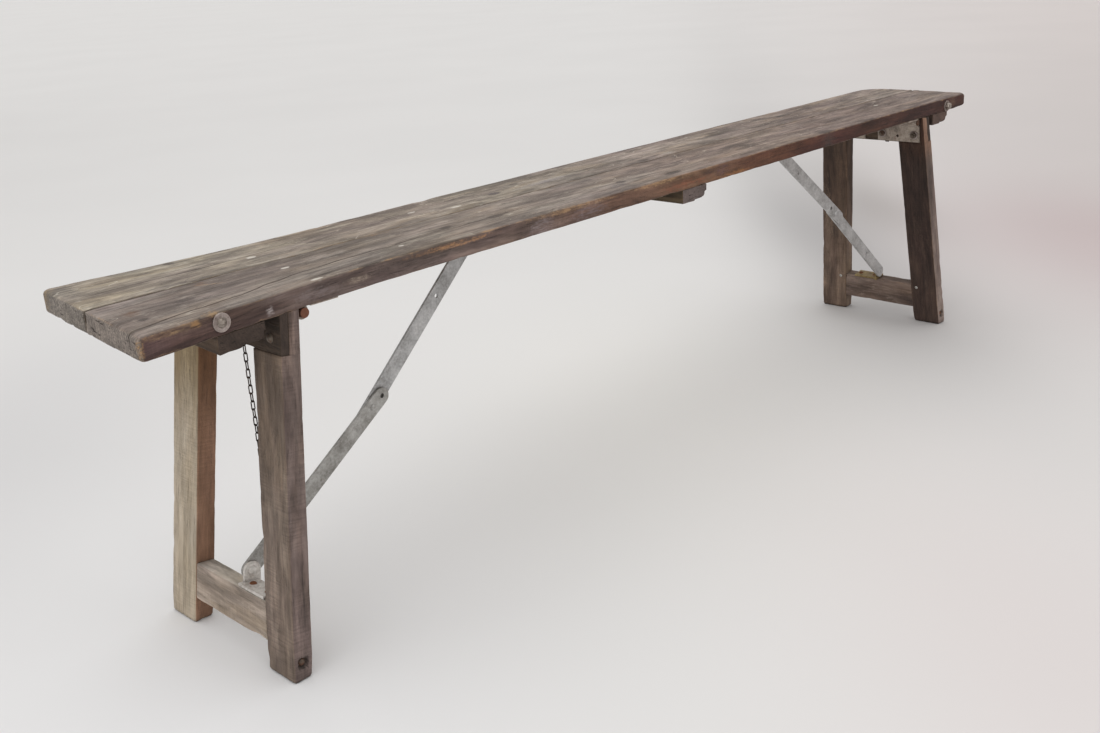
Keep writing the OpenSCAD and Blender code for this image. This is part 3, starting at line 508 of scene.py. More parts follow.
def metal(name, base, dark, light, seed, rust=0.0, rust_col=(0.16, 0.055, 0.022, 1), rough=0.5, metallic=0.75, spangle=0.5, edge=0.3, stains=(), bump=0.5, dirt_and_shade=0.5):
    m = bpy.data.materials.new(name)
    m.use_nodes = True
    m.node_tree.nodes.clear()
    g = Net(m.node_tree)
    tc = g.vec("ADD", g.new("ShaderNodeTexCoord").outputs["Object"], (seed * 0.37, seed * 0.71, 0))
    to = g.new("ShaderNodeTexCoord").outputs["Object"]
    a = g.noise(g.stretch(tc, (38, 38, 38)), 4, 0.6)
    b = g.noise(g.stretch(tc, (260, 260, 260), (3, 3, 3)), 3, 0.6)
    c = g.noise(g.stretch(tc, (1200, 1200, 1200), (5, 1, 3)), 2, 0.6)
    v = g.new("ShaderNodeTexVoronoi")
    g.put(v.inputs["Vector"], g.stretch(tc, (330, 330, 330)))
    v.inputs["Scale"].default_value = 1.0
    sp = v.outputs["Color"]
    f = g.math("ADD", g.math("MULTIPLY", a, 0.6), g.math("MULTIPLY", b, 0.4))
    col = g.ramp(f, [(0.36, dark), (0.5, base), (0.64, light)])
    spv = g.new("ShaderNodeSeparateColor")
    g.put(spv.inputs[0], sp)
    col = g.mix(1.0, col, g.grey(g.math("ADD", 1 - 0.12 * spangle, g.math("MULTIPLY", spv.outputs[0], 0.24 * spangle))), "MULTIPLY")
    for i, (centre, r0, strength) in enumerate(stains):
        msk = g.spot(to, centre, (r0, r0, r0), i * 5.3 + seed, 0.3, 0.55)
        col = g.mix(g.math("MULTIPLY", msk, strength), col, lin(92, 62, 44))
    rm = g.noise(g.stretch(tc, (55, 55, 55), (7, 2, 5)), 5, 0.65)
    rmask = g.span(rm, 0.72 - 0.5 * rust, 0.82 - 0.45 * rust)
    rmask = g.math("MULTIPLY", rmask, min(1.0, rust * 1.6))
    rc = g.mix(b, rust_col, tuple(x * 0.45 for x in rust_col[:3]) + (1,))
    col = g.mix(rmask, col, rc)
    # painted shade with some grime: ambient occlusion darkens hollows and places where parts meet, towards a brown
    # grime colour
    ao = g.new("ShaderNodeAmbientOcclusion", samples=6)
    ao.inputs["Distance"].default_value = 0.006
    ao_shade_and_grime = g.math("MULTIPLY", g.span(ao.outputs["AO"], 0.85, 0.3), dirt_and_shade)
    col = g.mix(ao_shade_and_grime, col, lin(62, 46, 36))
    # lighter rims along the edges: worn edges and a painted highlight
    bv = g.new("ShaderNodeBevel", samples=4)
    bv.inputs["Radius"].default_value = 0.0012
    geo = g.new("ShaderNodeNewGeometry")
    dt = g.vec("DOT_PRODUCT", bv.outputs[0], geo.outputs["Normal"])
    edge_wear_and_highlight = g.math("MULTIPLY", g.span(dt, 0.985, 0.85), edge)
    col = g.mix(edge_wear_and_highlight, col, tuple(min(1.0, x * 1.6) for x in light[:3]) + (1,))
    ro = g.math("ADD", rough - 0.12, g.math("MULTIPLY", b, 0.24))
    ro = g.math("ADD", ro, g.math("MULTIPLY", rmask, 0.25), True)
    me = g.math("MULTIPLY", metallic, g.math("SUBTRACT", 1.0, rmask))
    h = g.math("ADD", g.math("MULTIPLY", c, 0.35), g.math("MULTIPLY", b, 0.65))
    h = g.math("ADD", h, g.math("MULTIPLY", rmask, 0.4))
    bs = finish_mat(g, col, ro, h, 0.0005, bump, me, 0.5)
    # soften the sharp machine edges
    bu = [n for n in m.node_tree.nodes if n.type == "BUMP"][0]
    m.node_tree.links.new(bv.outputs[0], bu.inputs["Normal"])
    return m


# ------------------------------------------------------------------ places of the timbers
def twist(x, y):
    """The seat's left end has warped: its back edge is up and its front edge down."""
    t = np.clip((-650.0 - x) / 350.0, 0, None) ** 1.5
    return t * np.where(y > 0, 8.8 * y / 120.0, 9.0 * y / 120.0)


def round_corners(x, y):
    x, y = x.copy(), y.copy()
    for cx, cy, r, sx, sy in ((-1000, -120, 7, 1, 1), (-1000, 120, 12, 1, -1), (1000, -120, 13, -1, 1), (1000, 120, 48, -1, -1)):
        ox, oy = cx + sx * r, cy + sy * r
        dx, dy = -sx * (x - ox), -sy * (y - oy)
        inside = (dx > 0) & (dy > 0)
        h = np.hypot(dx, dy)
        f = np.where(inside, np.maximum(dx, dy) / np.maximum(h, 1e-6), 1.0)
        x = np.where(inside, ox - sx * dx * f, x)
        y = np.where(inside, oy - sy * dy * f, y)
    return x, y


def seat_place(y_mid):
    def place(p):
        x, y = round_corners(p[:, 0], p[:, 1] + y_mid)
        # the left end was sawn a little off square, and has swollen at the front corner
        k = np.clip((-850.0 - x) / 150.0, 0, None)
        z = UNDER + SEAT_T / 2 + p[:, 2] * (1 + 0.10 * k * (0.5 - y / 240.0)) + twist(x, y)
        x = x - k ** 1.5 * (5.4 - 1.6 * y / 120.0)
        return np.stack([x, y, z], 1)
    return place


def leg_world(u, y, w, far):
    x = -HX + u * CL + w * SL
    z = HZ - u * SL + w * CL
    if far:
        return np.stack([-x, -y, z], 1)
    return np.stack([x, y, z], 1)


POST_L = TOP_CUT / CL


def post_place(side, far):
    def place(p):
        u = U_MID + p[:, 2]
        w_mid = W_FLOOR + (p[:, 0] + POST_L / 2) + (U_MID * SL) / CL
        k = np.clip(1 - (POST_L / 2 - np.abs(p[:, 0])) / 25.0, 0, 1)
        w = w_mid + k * (u - U_MID) * SL / CL
        notch = p[:, 0] > (TOP_W - (W_FLOOR + U_MID * SL / CL)) - POST_L / 2
        zz = np.where(notch, 14 - (14 - p[:, 2]) * (16 - 0.1) / 28.0, p[:, 2])
        u = U_MID + zz
        y = side * (face_y(w) - POST_W / 2 + p[:, 1])
        world = leg_world(u, y, w, far)
        world[:, 2] = np.maximum(world[:, 2], 0.0)      # the feet are worn flat on the ground
        return world
    return place


def post_carve(base, n, half):
    """Pocket of the foot bolt in the outer edge face."""
    x0 = FOOT_W - (W_FLOOR + U_MID * SL / CL) - POST_L / 2
    m = np.maximum(np.abs(base[:, 0] - x0), np.abs(base[:, 2]))
    on = (n[:, 1] > 0.8) & (m < 7.0)
    return np.where(on, 5.2, 0.0), np.where((n[:, 1] > 0.5) & (m < 7.6), 0.75, 0.0)


def post_pre(p):
    x0 = FOOT_W - (W_FLOOR + U_MID * SL / CL) - POST_L / 2
    dx, dz = p[:, 0] - x0, p[:, 2]
    m = np.maximum(np.abs(dx), np.abs(dz))
    h = np.maximum(np.hypot(dx, dz), 1e-6)
    face = p[:, 1] > half_post[1] - 0.01
    f = np.where(m <= 7.2, m / h, 1 + (m / h - 1) * np.clip(1 - (m - 7.2) / 4.0, 0, 1))
    f = np.where(face & (m < 11.2), f, 1.0)
    q = p.copy()
    q[:, 0] = x0 + dx * f
    q[:, 2] = dz * f
    return q


half_post = np.array([POST_L / 2, POST_W / 2, POST_T / 2])
SHOULDER = face_y(-20.0) - POST_W
RAIL_L = face_y(-20.0) * 2


def top_rail_place(far):
    def place(p):
        k = np.abs(p[:, 0]) > SHOULDER + 0.15
        zz = np.where(k, -14 + (p[:, 2] + 14) * (LAP / 28.0), p[:, 2])
        u = U_MID + zz
        w1 = (TOP_CUT - HZ + u * SL) / CL
        w = TOP_W + (p[:, 1] + TOP_H / 2) / TOP_H * (w1 - TOP_W)
        a = np.abs(p[:, 0])
        y = np.where(k, face_y(w) - POST_W + (a - SHOULDER) / (RAIL_L / 2 - SHOULDER) * POST_W,
                     a / SHOULDER * (face_y(w) - POST_W - 0.1))
        return leg_world(u, np.sign(p[:, 0]) * y, w, far)
    return place


TOP_H = (TOP_CUT - HZ + U_MID * SL) / CL - TOP_W


def low_rail_place(far):
    def place(p):
        u = U_MID + p[:, 2]
        w = (LOW_W0 + LOW_W1) / 2 + p[:, 1]
        y = p[:, 0] / LOW_L * (face_y(w) - POST_W + 0.6)
        return leg_world(u, y, w, far)
    return place


LOW_L = face_y((LOW_W0 + LOW_W1) / 2) - POST_W


def cleat_place(xc, warp):
    def place(p):
        x, y = xc + p[:, 1], p[:, 0]
        z = UNDER - 12 + p[:, 2]
        if warp:
            z = z + twist(x, y)
        return np.stack([x, y, z], 1)
    return place


# ------------------------------------------------------------------ colours
C = lin
wood_seat_front = wood(
    "wood_seat_front", C(98, 86, 79), C(127, 114, 105), C(150, 139, 129), C(168, 138, 106), C(134, 124, 116), 1,
    wear=0.8, saw=0.25, contrast=0.5, dust=0.3, amp=1.0, ring=0.25, blotch=0.85, scratch=0.8,
    # face_ramps: painted shade on the front edge, darker and redder towards the far end; the top's ramp makes the top
    # lighter and darker along its length
    face_ramps=(((0, -1, 0), ((-0.98, (.41, .30, .33)), (-0.89, (.40, .30, .30)), (-0.78, (.60, .54, .57)), (-0.56, (.68, .62, .65)),
                              (-0.38, (.88, .76, .74)), (-0.2, (.72, .51, .42)), (0.03, (.81, .57, .41)), (0.22, (.70, .37, .25)),
                              (0.4, (.29, .135, .13)), (0.6, (.26, .135, .10)), (0.8, (.34, .19, .175)))),
                ((0, 0, 1), ((-0.89, (.93, .94, .96)), (-0.73, (.89, .90, .88)), (-0.53, (1.03, 1.05, 1.02)), (-0.33, (1.1, 1.12, 1.12)),
                             (-0.13, (1.02, 1.02, 1.02)), (0.07, (1.10, 1.04, 1.01)), (0.27, (1.08, 1.03, 1.00)),
                             (0.47, (.77, .70, .71)), (0.67, (.86, .80, .79)), (0.87, (1.0, .97, .98))))),
    marks=(
        ("knot", (-0.907, -0.049), (0.015, 0.0045)), ("knot", (-0.974, -0.072), (0.006, 0.0045)),
        ("knot", (-0.496, -0.053), (0.010, 0.005)), ("dark", (-0.409, -0.066), (0.014, 0.007)),
        ((88, 84, 88, .7), (-0.155, -0.087), (0.020, 0.010)), ("knot", (-0.131, -0.069), (0.010, 0.006)),
        ("dark", (-0.032, -0.098), (0.018, 0.007)), ("knot", (0.419, -0.112), (0.022, 0.008)),
        ("white", (-0.755, -0.035), (0.006, 0.003)), ("white", (-0.763, -0.112), (0.009, 0.003)),
        ((176, 166, 158, .45), (-0.691, -0.031), (0.034, 0.011)), ("white", (0.754, -0.034), (0.007, 0.003)),
        ((190, 160, 130, .6), (-0.855, -0.016), (0.016, 0.0018), 0.5), ("white", (-0.60, -0.08), (0.004, 0.003)),
        ((182, 172, 158, .35), (-0.33, -0.02), (0.05, 0.008)), ("dark", (0.21, -0.04), (0.03, 0.006)),
        ((116, 84, 62, .5), (-0.973, -0.044), (0.010, 0.008)), ((112, 82, 60, .5), (-0.861, -0.005), (0.008, 0.006)),
        ((172, 134, 90, .5), (-0.574, 0.001), (0.020, 0.0022), 0.12), ((98, 88, 84, .5), (-0.80, -0.013), (0.03, 0.008)),
        ((96, 90, 92, .4), (-0.155, -0.007), (0.05, 0.010)), ((94, 76, 68, .6), (0.035, -0.004), (0.006, 0.003)),
        ((176, 140, 98, .85), (-1.008, -0.119, 0.480), (0.0045, 0.007, 0.015)),
        ((186, 152, 110, .7), (-0.982, -0.121, 0.488), (0.020, 0.010, 0.0028)),
        ((128, 108, 86, .4), (-0.955, -0.121, 0.490), (0.030, 0.012, 0.006)),
        ((164, 126, 84, .7), (-0.937, -0.121, 0.489), (0.006, 0.010, 0.004)),
        ((186, 152, 110, .7), (-0.914, -0.121, 0.496), (0.010, 0.010, 0.003)),
        ((176, 166, 164, .7), (-0.839, -0.121, 0.479), (0.0045, 0.010, 0.005)),
        ((184, 168, 150, .5), (-0.707, -0.121, 0.486), (0.016, 0.010, 0.0035)),
        ((150, 138, 138, .35), (-0.770, -0.121, 0.484), (0.030, 0.010, 0.006)),
        ((188, 142, 100, .65), (-0.538, -0.121, 0.494), (0.060, 0.010, 0.003)),
        ((180, 146, 108, .6), (-0.300, -0.121, 0.4965), (0.080, 0.010, 0.003)),
        ((184, 150, 112, .55), (-0.090, -0.121, 0.4965), (0.060, 0.010, 0.003)),
        ((158, 146, 148, .5), (-0.369, -0.121, 0.483), (0.022, 0.012, 0.011)),
        ((136, 122, 124, .5), (-0.268, -0.121, 0.485), (0.034, 0.012, 0.010)),
        ((74, 56, 52, .7), (0.036, -0.121, 0.490), (0.010, 0.010, 0.006)),
        ((96, 72, 80, .6), (0.074, -0.121, 0.488), (0.018, 0.012, 0.008)),
        ((168, 116, 72, .55), (0.107, -0.121, 0.476), (0.045, 0.012, 0.005)),
        ((150, 84, 60, .4), (-0.020, -0.121, 0.482), (0.060, 0.012, 0.007)),
        ("nail", (0.921, -0.120, 0.486), (0.005, 0.01, 0.004)),
        ((122, 100, 82, .4), (0.938, -0.121, 0.490), (0.012, 0.012, 0.009)),
    ))
wood_seat_back = wood(
    "wood_seat_back", C(108, 96, 87), C(136, 124, 112), C(160, 149, 136), C(168, 144, 114), C(132, 124, 116), 2,
    wear=0.7, saw=0.25, contrast=0.5, dust=0.45, amp=1.0, ring=0.25, blotch=1.0, scratch=1.0,
    face_ramps=(((0, 0, 1), ((-0.89, (1.30, 1.36, 1.35)), (-0.73, (.80, .80, .79)), (-0.53, (.93, .90, .92)), (-0.33, (1.03, 1.05, 1.03)),
                             (-0.13, (1.01, 1.04, 1.07)), (0.07, (1.02, .98, 1.02)), (0.27, (.79, .76, .78)),
                             (0.47, (.86, .82, .85)), (0.67, (.82, .77, .81)), (0.87, (1.18, 1.17, 1.20)))),),
    marks=(
        ("knot", (-0.836, 0.109), (0.008, 0.005)), ("knot", (-0.298, 0.052), (0.012, 0.006)),
        ("white", (-0.750, 0.049), (0.007, 0.0042)), ((196, 188, 174, .6), (-0.724, 0.112), (0.016, 0.004)),
        ("white", (-0.395, 0.035), (0.010, 0.0038)), ("white", (-0.457, 0.066), (0.007, 0.003)),
        ((186, 178, 160, .6), (-0.581, 0.093), (0.030, 0.005)), ((182, 172, 150, .6), (-0.664, 0.047), (0.030, 0.0022), 0.9),
        ((190, 182, 166, .5), (-0.640, 0.115), (0.020, 0.0025)), ((176, 166, 150, .5), (-0.522, 0.037), (0.012, 0.006)),
        ((168, 160, 146, .45), (-0.410, 0.061), (0.020, 0.006)), ((150, 144, 148, .55), (-0.184, 0.048), (0.045, 0.010)),
        ((92, 82, 88, .6), (-0.295, 0.054), (0.010, 0.007)), ((186, 178, 170, .55), (0.112, 0.023), (0.016, 0.008)),
        ((84, 74, 72, .6), (0.120, 0.048), (0.022, 0.003)), ("dark", (0.033, 0.02), (0.014, 0.006)),
        ((180, 168, 146, .4), (-0.70, 0.075), (0.05, 0.016)), ((172, 162, 142, .4), (-0.5, 0.08), (0.06, 0.014)),
        ("dark", (0.3, 0.06), (0.03, 0.008)), ("knot", (0.55, 0.07), (0.012, 0.006)),
        ((88, 84, 84, .6), (-0.988, 0.090), (0.014, 0.022)), ((96, 90, 86, .45), (-0.90, 0.113), (0.05, 0.006)),
        ((150, 128, 98, .7), (-1.003, 0.114, 0.498), (0.011, 0.014, 0.017)),
        ((82, 74, 72, .5), (-0.86, 0.016), (0.11, 0.006)),
    ))
wood_post_tan = wood(
    "wood_post_near_back", C(144, 129, 110), C(182, 168, 148), C(204, 193, 176), C(186, 162, 128), C(120, 104, 86), 3,
    # faces: the front face is darkened: painted shade
    wear=0.4, saw=0.35, contrast=0.25, dust=0.0, ring=0.12, blotch=0.4, amp=0.6, faces=(((0, -1, 0), C(199, 166, 152)),),
    grades=((2, 0.25, 0.40, (.60, .52, .38)),))
wood_post_purple = wood(
    "wood_post_near_front", C(90, 78, 69), C(126, 110, 98), C(154, 139, 125), C(160, 132, 104), C(96, 82, 72), 4,
    # faces: the front face is made darker and bluer: painted shade
    wear=0.45, saw=0.6, contrast=0.3, dust=0.0, ring=0.12, blotch=0.7, amp=0.75, faces=(((0, 1, 0), (.83, .81, .92, 1)),),
    grades=((2, 0.20, 0.44, (.88, .85, .82)),))
wood_post_ff = wood(
    "wood_post_far_front", C(89, 75, 70), C(129, 112, 105), C(164, 149, 139), C(146, 120, 96), C(90, 76, 66), 5,
    # faces: the inner face is darkened to a quarter: painted shade
    wear=0.5, saw=0.4, contrast=0.3, dust=0.0, ring=0.15, blotch=0.6, faces=(((0, 0, 1), (.245, .195, .175, 1)),),
    grades=((2, 0.10, 0.30, (.86, .84, .82)), (2, 0.36, 0.43, (1.25, 1.0, .8))))
wood_post_far = wood(
    "wood_post_far", C(66, 54, 47), C(102, 84, 72), C(134, 114, 98), C(150, 124, 100), C(88, 74, 64), 12,
    # grades: darker towards the top, under the seat: painted shade
    wear=0.5, saw=0.4, contrast=0.3, dust=0.0, ring=0.15, blotch=0.7, grades=((2, 0.08, 0.34, (.44, .39, .36)),), marks=(
        ((132, 112, 96, .8), (0.858, 0.121, 0.235), (0.05, 0.012, 0.060)),))
wood_rail_near = wood(
    "wood_rail_near", C(136, 122, 108), C(172, 157, 144), C(198, 184, 172), C(176, 148, 120), C(110, 96, 82), 6,
    wear=0.4, saw=0.3, contrast=0.28, dust=0.1, ring=0.15, blotch=0.9, amp=0.75, faces=(((0, 1, 0), (1.2, 1.3, 1.33, 1)),),
    marks=(("red", (-0.862, -0.036, 0.031), (0.012, 0.038, 0.004)),))
wood_rail_far = wood(
    "wood_rail_far", C(77, 63, 56), C(111, 94, 84), C(142, 125, 113), C(160, 134, 108), C(100, 84, 72), 7,
    wear=0.5, saw=0.3, contrast=0.4, dust=0.1, ring=0.2, blotch=0.8)
wood_dark = wood(
    "wood_dark", C(46, 37, 29), C(67, 54, 44), C(91, 75, 61), C(122, 96, 72), C(67, 55, 48), 8,
    wear=0.5, saw=0.2, contrast=0.45, dust=0.0, ring=0.2, blotch=0.8, end_amp=0.4)
wood_cleat = wood(
    "wood_cleat", C(62, 53, 48), C(92, 80, 72), C(120, 107, 96), C(150, 122, 94), C(104, 92, 88), 9,
    # faces: the face towards the seat's left end is darker and browner: painted shade
    wear=0.6, saw=0.2, contrast=0.45, dust=0.0, ring=0.3, blotch=0.7, end_amp=0.5, faces=(((0, -1, 0), (.62, .57, .42, 1)),))
wood_cleat_far = wood(
    "wood_cleat_far", C(56, 46, 41), C(84, 70, 62), C(110, 94, 84), C(140, 112, 88), C(92, 74, 66), 10,
    wear=0.6, saw=0.2, contrast=0.4, dust=0.0, ring=0.2, blotch=0.7, end_amp=0.5)

# ------------------------------------------------------------------ seat planks
CRACK_X = np.array([-1010, -978, -950, -904, -855, -773, -692, -560, -400, -200, 1010.0])
CRACK_Y = np.array([-99, -97, -91, -86.5, -87, -70, -69, -66, -64, -63, -60.0])
CRACK_W = np.array([1.2, 1.8, 2.2, 2.1, 2.0, 1.8, 1.5, 1.1, 0.7, 0.0, 0.0])
Y0F, Y1F = -120.0, JOINT_Y - JOINT_GAP
MIDF, HALFF = (Y0F + Y1F) / 2, (Y1F - Y0F) / 2
CR0 = -78.0 - MIDF


def crack_y(x):
    return np.interp(x, CRACK_X, CRACK_Y) - MIDF + 1.3 * np.sin(x / 23.0) + 0.9 * np.sin(x / 9.3 + 1)


def front_pre(p):
    q = p.copy()
    shift = crack_y(p[:, 0]) - CR0
    lo, hi = -HALFF + 9, HALFF - 9
    tri = np.where(p[:, 1] < CR0, (p[:, 1] - lo) / (CR0 - lo), (hi - p[:, 1]) / (hi - CR0))
    q[:, 1] += shift * np.clip(tri, 0, 1)
    return q


def front_carve(base, n, half):
    c = crack_y(base[:, 0])
    w = np.interp(base[:, 0], CRACK_X, CRACK_W)
    d = np.abs(base[:, 1] - c)
    v = np.clip(1 - d / np.maximum(w * 0.5, 1e-3), 0, 1) * (w > 0.05)
    up = np.clip(n[:, 2], 0, 1)
    end = np.clip(-n[:, 0], 0, 1) * sm(base[:, 2], -6, 4)
    e = v * (up * np.minimum(6.0, w * 2.4) + end * 1.5)
    dark = np.clip(1.25 - d / np.maximum(w * 0.75, 1e-3), 0, 1) * (w > 0.05) * np.clip(up + end, 0, 1)
    return e + joint_wear(base, n, half, 1), np.maximum(dark, joint_dirt(base, n, half, 1))


def joint_wear(base, n, half, side):
    """The joint opens towards the left end."""
    g = np.clip(half[1] - side * base[:, 1], 0, None)
    open_ = sm(-base[:, 0], 800, 1000) * 1.6 + 0.3
    return open_ * np.exp(-g / 1.6) * np.clip(side * n[:, 1] + n[:, 2], 0, 1) * sm(base[:, 2], -4, 6)


def joint_dirt(base, n, half, side):
    g = np.clip(half[1] - side * base[:, 1], 0, None)
    return np.exp(-g / 1.1) * 0.9 * (np.clip(n[:, 2], 0, 1) + np.clip(-n[:, 0], 0, 1)).clip(0, 1)


def seat_radius(inner):
    def radius(p):
        end = sm(np.abs(p[:, 0]), 930, 1000)
        r = np.where(p[:, 2] > 0, 4.2, 2.6)
        r = np.where(inner * p[:, 1] > 0, 1.6, r)
        more = np.where(p[:, 0] > 0, 5.6, np.where(p[:, 2] > 0, 2.2, 0.6))
        return r + end * more * np.where(inner * p[:, 1] > HALFF * 0.75, 0.3, 1.0)
    return radius


def front_edge_chips(base, n, half):
    e, d = front_carve(base, n, half)
    # a broken strip along the far end of the front edge, and two short ones
    for x0, x1, k in ((898, 972, 2.6), (-640, -590, 1.2), (120, 190, 1.0)):
        m = sm(base[:, 0], x0, x0 + 6) * sm(-base[:, 0], -x1, -x1 + 9)
        e = e + m * k * np.clip(-n[:, 1], 0, 1) * sm(base[:, 2], -10, 6)
    return e, d


xs = ticks(-1000, 1000, 5.0, 1.2, 12)
ys = ticks(-HALFF, HALFF, 2.4, 1.0, 6, [CR0 + o for o in (-3, -1.6, -0.9, -0.4, 0, 0.4, 0.9, 1.6, 3)])
zs = ticks(-SEAT_T / 2, SEAT_T / 2, 2.6, 1.0, 7)
timber("seat_front", (1000, HALFF, SEAT_T / 2), xs, ys, zs, seat_radius(1), seat_place(MIDF), 101,
       ["seat_plank_front"], "seat", wood_seat_front, pre=front_pre, carve=front_edge_chips, rough=0.32, wave=0.5,
       dents=70, dent_size=(2.5, 8), dent_depth=(0.3, 1.5), wear_w=3.4, bias=0.7)

Y0B, Y1B = JOINT_Y + JOINT_GAP, 120.0
MIDB, HALFB = (Y0B + Y1B) / 2, (Y1B - Y0B) / 2
B_X = np.array([-1010, -960, -900, -840, -780, -700, 1010.0])
B_Y = np.array([52, 53, 55, 55.5, 58, 60, 62.0])
B_W = np.array([0.5, 0.9, 1.1, 0.9, 0.6, 0.0, 0.0])
CB0 = 56 - MIDB


def back_y(x):
    return np.interp(x, B_X, B_Y) - MIDB + 0.8 * np.sin(x / 31.0)


def back_pre(p):
    q = p.copy()
    shift = back_y(p[:, 0]) - CB0
    lo, hi = -HALFB + 9, HALFB - 9
    tri = np.where(p[:, 1] < CB0, (p[:, 1] - lo) / (CB0 - lo), (hi - p[:, 1]) / (hi - CB0))
    q[:, 1] += shift * np.clip(tri, 0, 1)
    return q


def back_carve(base, n, half):
    w = np.interp(base[:, 0], B_X, B_W)
    d = np.abs(base[:, 1] - back_y(base[:, 0]))
    v = np.clip(1 - d / np.maximum(w * 0.5, 1e-3), 0, 1) * (w > 0.05)
    up = np.clip(n[:, 2], 0, 1)
    end = np.clip(-n[:, 0], 0, 1) * sm(base[:, 2], -6, 4)
    dark = np.clip(1.25 - d / np.maximum(w * 0.75, 1e-3), 0, 1) * (w > 0.05) * np.clip(up + end, 0, 1)
    e = v * (up * w * 2.2 + end * 0.8)
    return e + joint_wear(base, n, half, -1), np.maximum(dark, joint_dirt(base, n, half, -1))


ysb = ticks(-HALFB, HALFB, 2.4, 1.0, 6, [CB0 + o for o in (-2.4, -1.2, -0.5, 0, 0.5, 1.2, 2.4)])
timber("seat_back", (1000, HALFB, SEAT_T / 2), xs, ysb, zs, seat_radius(-1), seat_place(MIDB), 202,
       ["seat_plank_back"], "seat", wood_seat_back, pre=back_pre, carve=back_carve, rough=0.32, wave=0.5,
       dents=60, dent_size=(2.5, 8), dent_depth=(0.3, 1.4), wear_w=3.0, bias=0.7)


# ------------------------------------------------------------------ cleats
def cleat_radius(p):
    low = p[:, 2] < 0
    return np.where(low & (p[:, 1] > 0), 9.0, np.where(low, 2.2, 1.2))


for key, xc, sd, warp in (("near_cleat", -880, 301, True), ("mid_cleat", 0, 302, False), ("far_cleat", 880, 303, False)):
    timber(key + "_wood", (119, 33, 12), ticks(-119, 119, 4, 1.1, 8), ticks(-33, 33, 3, 1.2, 10),
           ticks(-12, 12, 2.4, 1.0, 6), cleat_radius, cleat_place(xc, warp), sd, [key], "seat",
           {"mid_cleat": wood_cleat, "far_cleat": wood_cleat_far}.get(key, wood_dark), rough=0.25, wave=0.5, dents=14, wear_w=2.4)


# ------------------------------------------------------------------ leg frames
def post_radius(p):
    foot = sm(-p[:, 0], POST_L / 2 - 30, POST_L / 2)
    return 1.9 + foot * 3.0


XFOOT = FOOT_W - (W_FLOOR + U_MID * SL / CL) - POST_L / 2
XNOTCH = TOP_W - (W_FLOOR + U_MID * SL / CL) - POST_L / 2
px = ticks(-POST_L / 2, POST_L / 2, 4.0, 1.2, 10,
           [XFOOT + o for o in (-11.2, -8.6, -7.2, -6.9, -5.4, -3.6, -1.8, 0, 1.8, 3.6, 5.4, 6.9, 7.2, 8.6, 11.2)] + [XNOTCH - 0.12, XNOTCH + 0.12])
py = ticks(-30, 30, 2.6, 1.0, 6)
pz = ticks(-14, 14, 2.4, 1.0, 5, [o for o in (-7.2, -6.9, -5.2, -3.4, -1.7, 0, 1.7, 3.4, 5.2, 6.9, 7.2)])
for key, side, far, sd, mt in (
        ("near_front_post", -1, False, 401, wood_post_purple), ("near_back_post", 1, False, 402, wood_post_tan),
        ("far_front_post", 1, True, 403, wood_post_ff), ("far_back_post", -1, True, 404, wood_post_far)):
    timber(key + "_wood", half_post, px, py, pz, post_radius, post_place(side, far), sd, [key],
           "far_leg" if far else "near_leg", mt, pre=post_pre, carve=post_carve, rough=0.3, wave=0.4, dents=16,
           dent_size=(2.0, 6), dent_depth=(0.3, 1.5), wear_w=2.2, bias=0.5 if key == "near_front_post" else 1.2)

for far, body in ((False, "near_leg"), (True, "far_leg")):
    tag = "far" if far else "near"
    sh = [s * (SHOULDER + o) for s in (-1, 1) for o in (0.0, 0.3)]
    timber(tag + "_top_rail_wood", (RAIL_L / 2, TOP_H / 2, 14), ticks(-RAIL_L / 2, RAIL_L / 2, 4, 1.1, 8, sh),
           ticks(-TOP_H / 2, TOP_H / 2, 3, 1.1, 6), ticks(-14, 14, 2.6, 1.1, 6), lambda p: np.full(len(p), 1.6),
           top_rail_place(far), 501 + far, [tag + "_top_rail"], body, wood_dark, rough=0.2, wave=0.3, dents=8,
           dent_depth=(0.3, 1.0), wear_w=2.0)
    timber(tag + "_bottom_rail_wood", (LOW_L, 27.5, 14), ticks(-LOW_L, LOW_L, 3, 1.1, 5), ticks(-27.5, 27.5, 3, 1.1, 6),
           ticks(-14, 14, 2.6, 1.1, 6), lambda p: np.full(len(p), 2.4), low_rail_place(far), 601 + far,
           [tag + "_bottom_rail"], body, wood_rail_far if far else wood_rail_near, rough=0.25, wave=0.4, dents=10,
           dent_depth=(0.3, 1.4), wear_w=2.2)

# ------------------------------------------------------------------ metal finishes on the kept CAD nodes
galv = metal("galvanised_bar", C(174, 174, 174), C(140, 139, 137), C(200, 200, 199), 1, rust=0.18, rough=0.5, metallic=0.4, edge=0.25, dirt_and_shade=0.7)
galv_low = metal("galvanised_bar_dull", C(158, 156, 152), C(124, 121, 116), C(184, 183, 180), 2, rust=0.22, rough=0.55, metallic=0.4, edge=0.25, dirt_and_shade=0.7)
galv_far = metal("galvanised_bar_far", C(176, 175, 174), C(142, 140, 138), C(198, 197, 196), 13, rust=0.12, rough=0.5, metallic=0.4, edge=0.2, dirt_and_shade=0.6)
zinc = metal("zinc_bracket", C(204, 199, 193), C(166, 157, 148), C(226, 222, 217), 3, rust=0.3, rough=0.6, metallic=0.35, edge=0.2, dirt_and_shade=0.7)
brass = metal("yellowed_bracket", C(132, 112, 74), C(98, 80, 52), C(160, 142, 100), 4, rust=0.2, rough=0.6, metallic=0.4, edge=0.2, dirt_and_shade=0.7)
plate = metal("hinge_plate", C(155, 143, 132), C(112, 102, 92), C(184, 172, 160), 5, rust=0.28, rough=0.6, metallic=0.4, edge=0.3, dirt_and_shade=0.8)
rodm = metal("hinge_rod", C(116, 72, 56), C(84, 50, 38), C(150, 100, 78), 6, rust=0.75, rust_col=(0.21, 0.082, 0.048, 1), rough=0.8, metallic=0.3, edge=0.2)
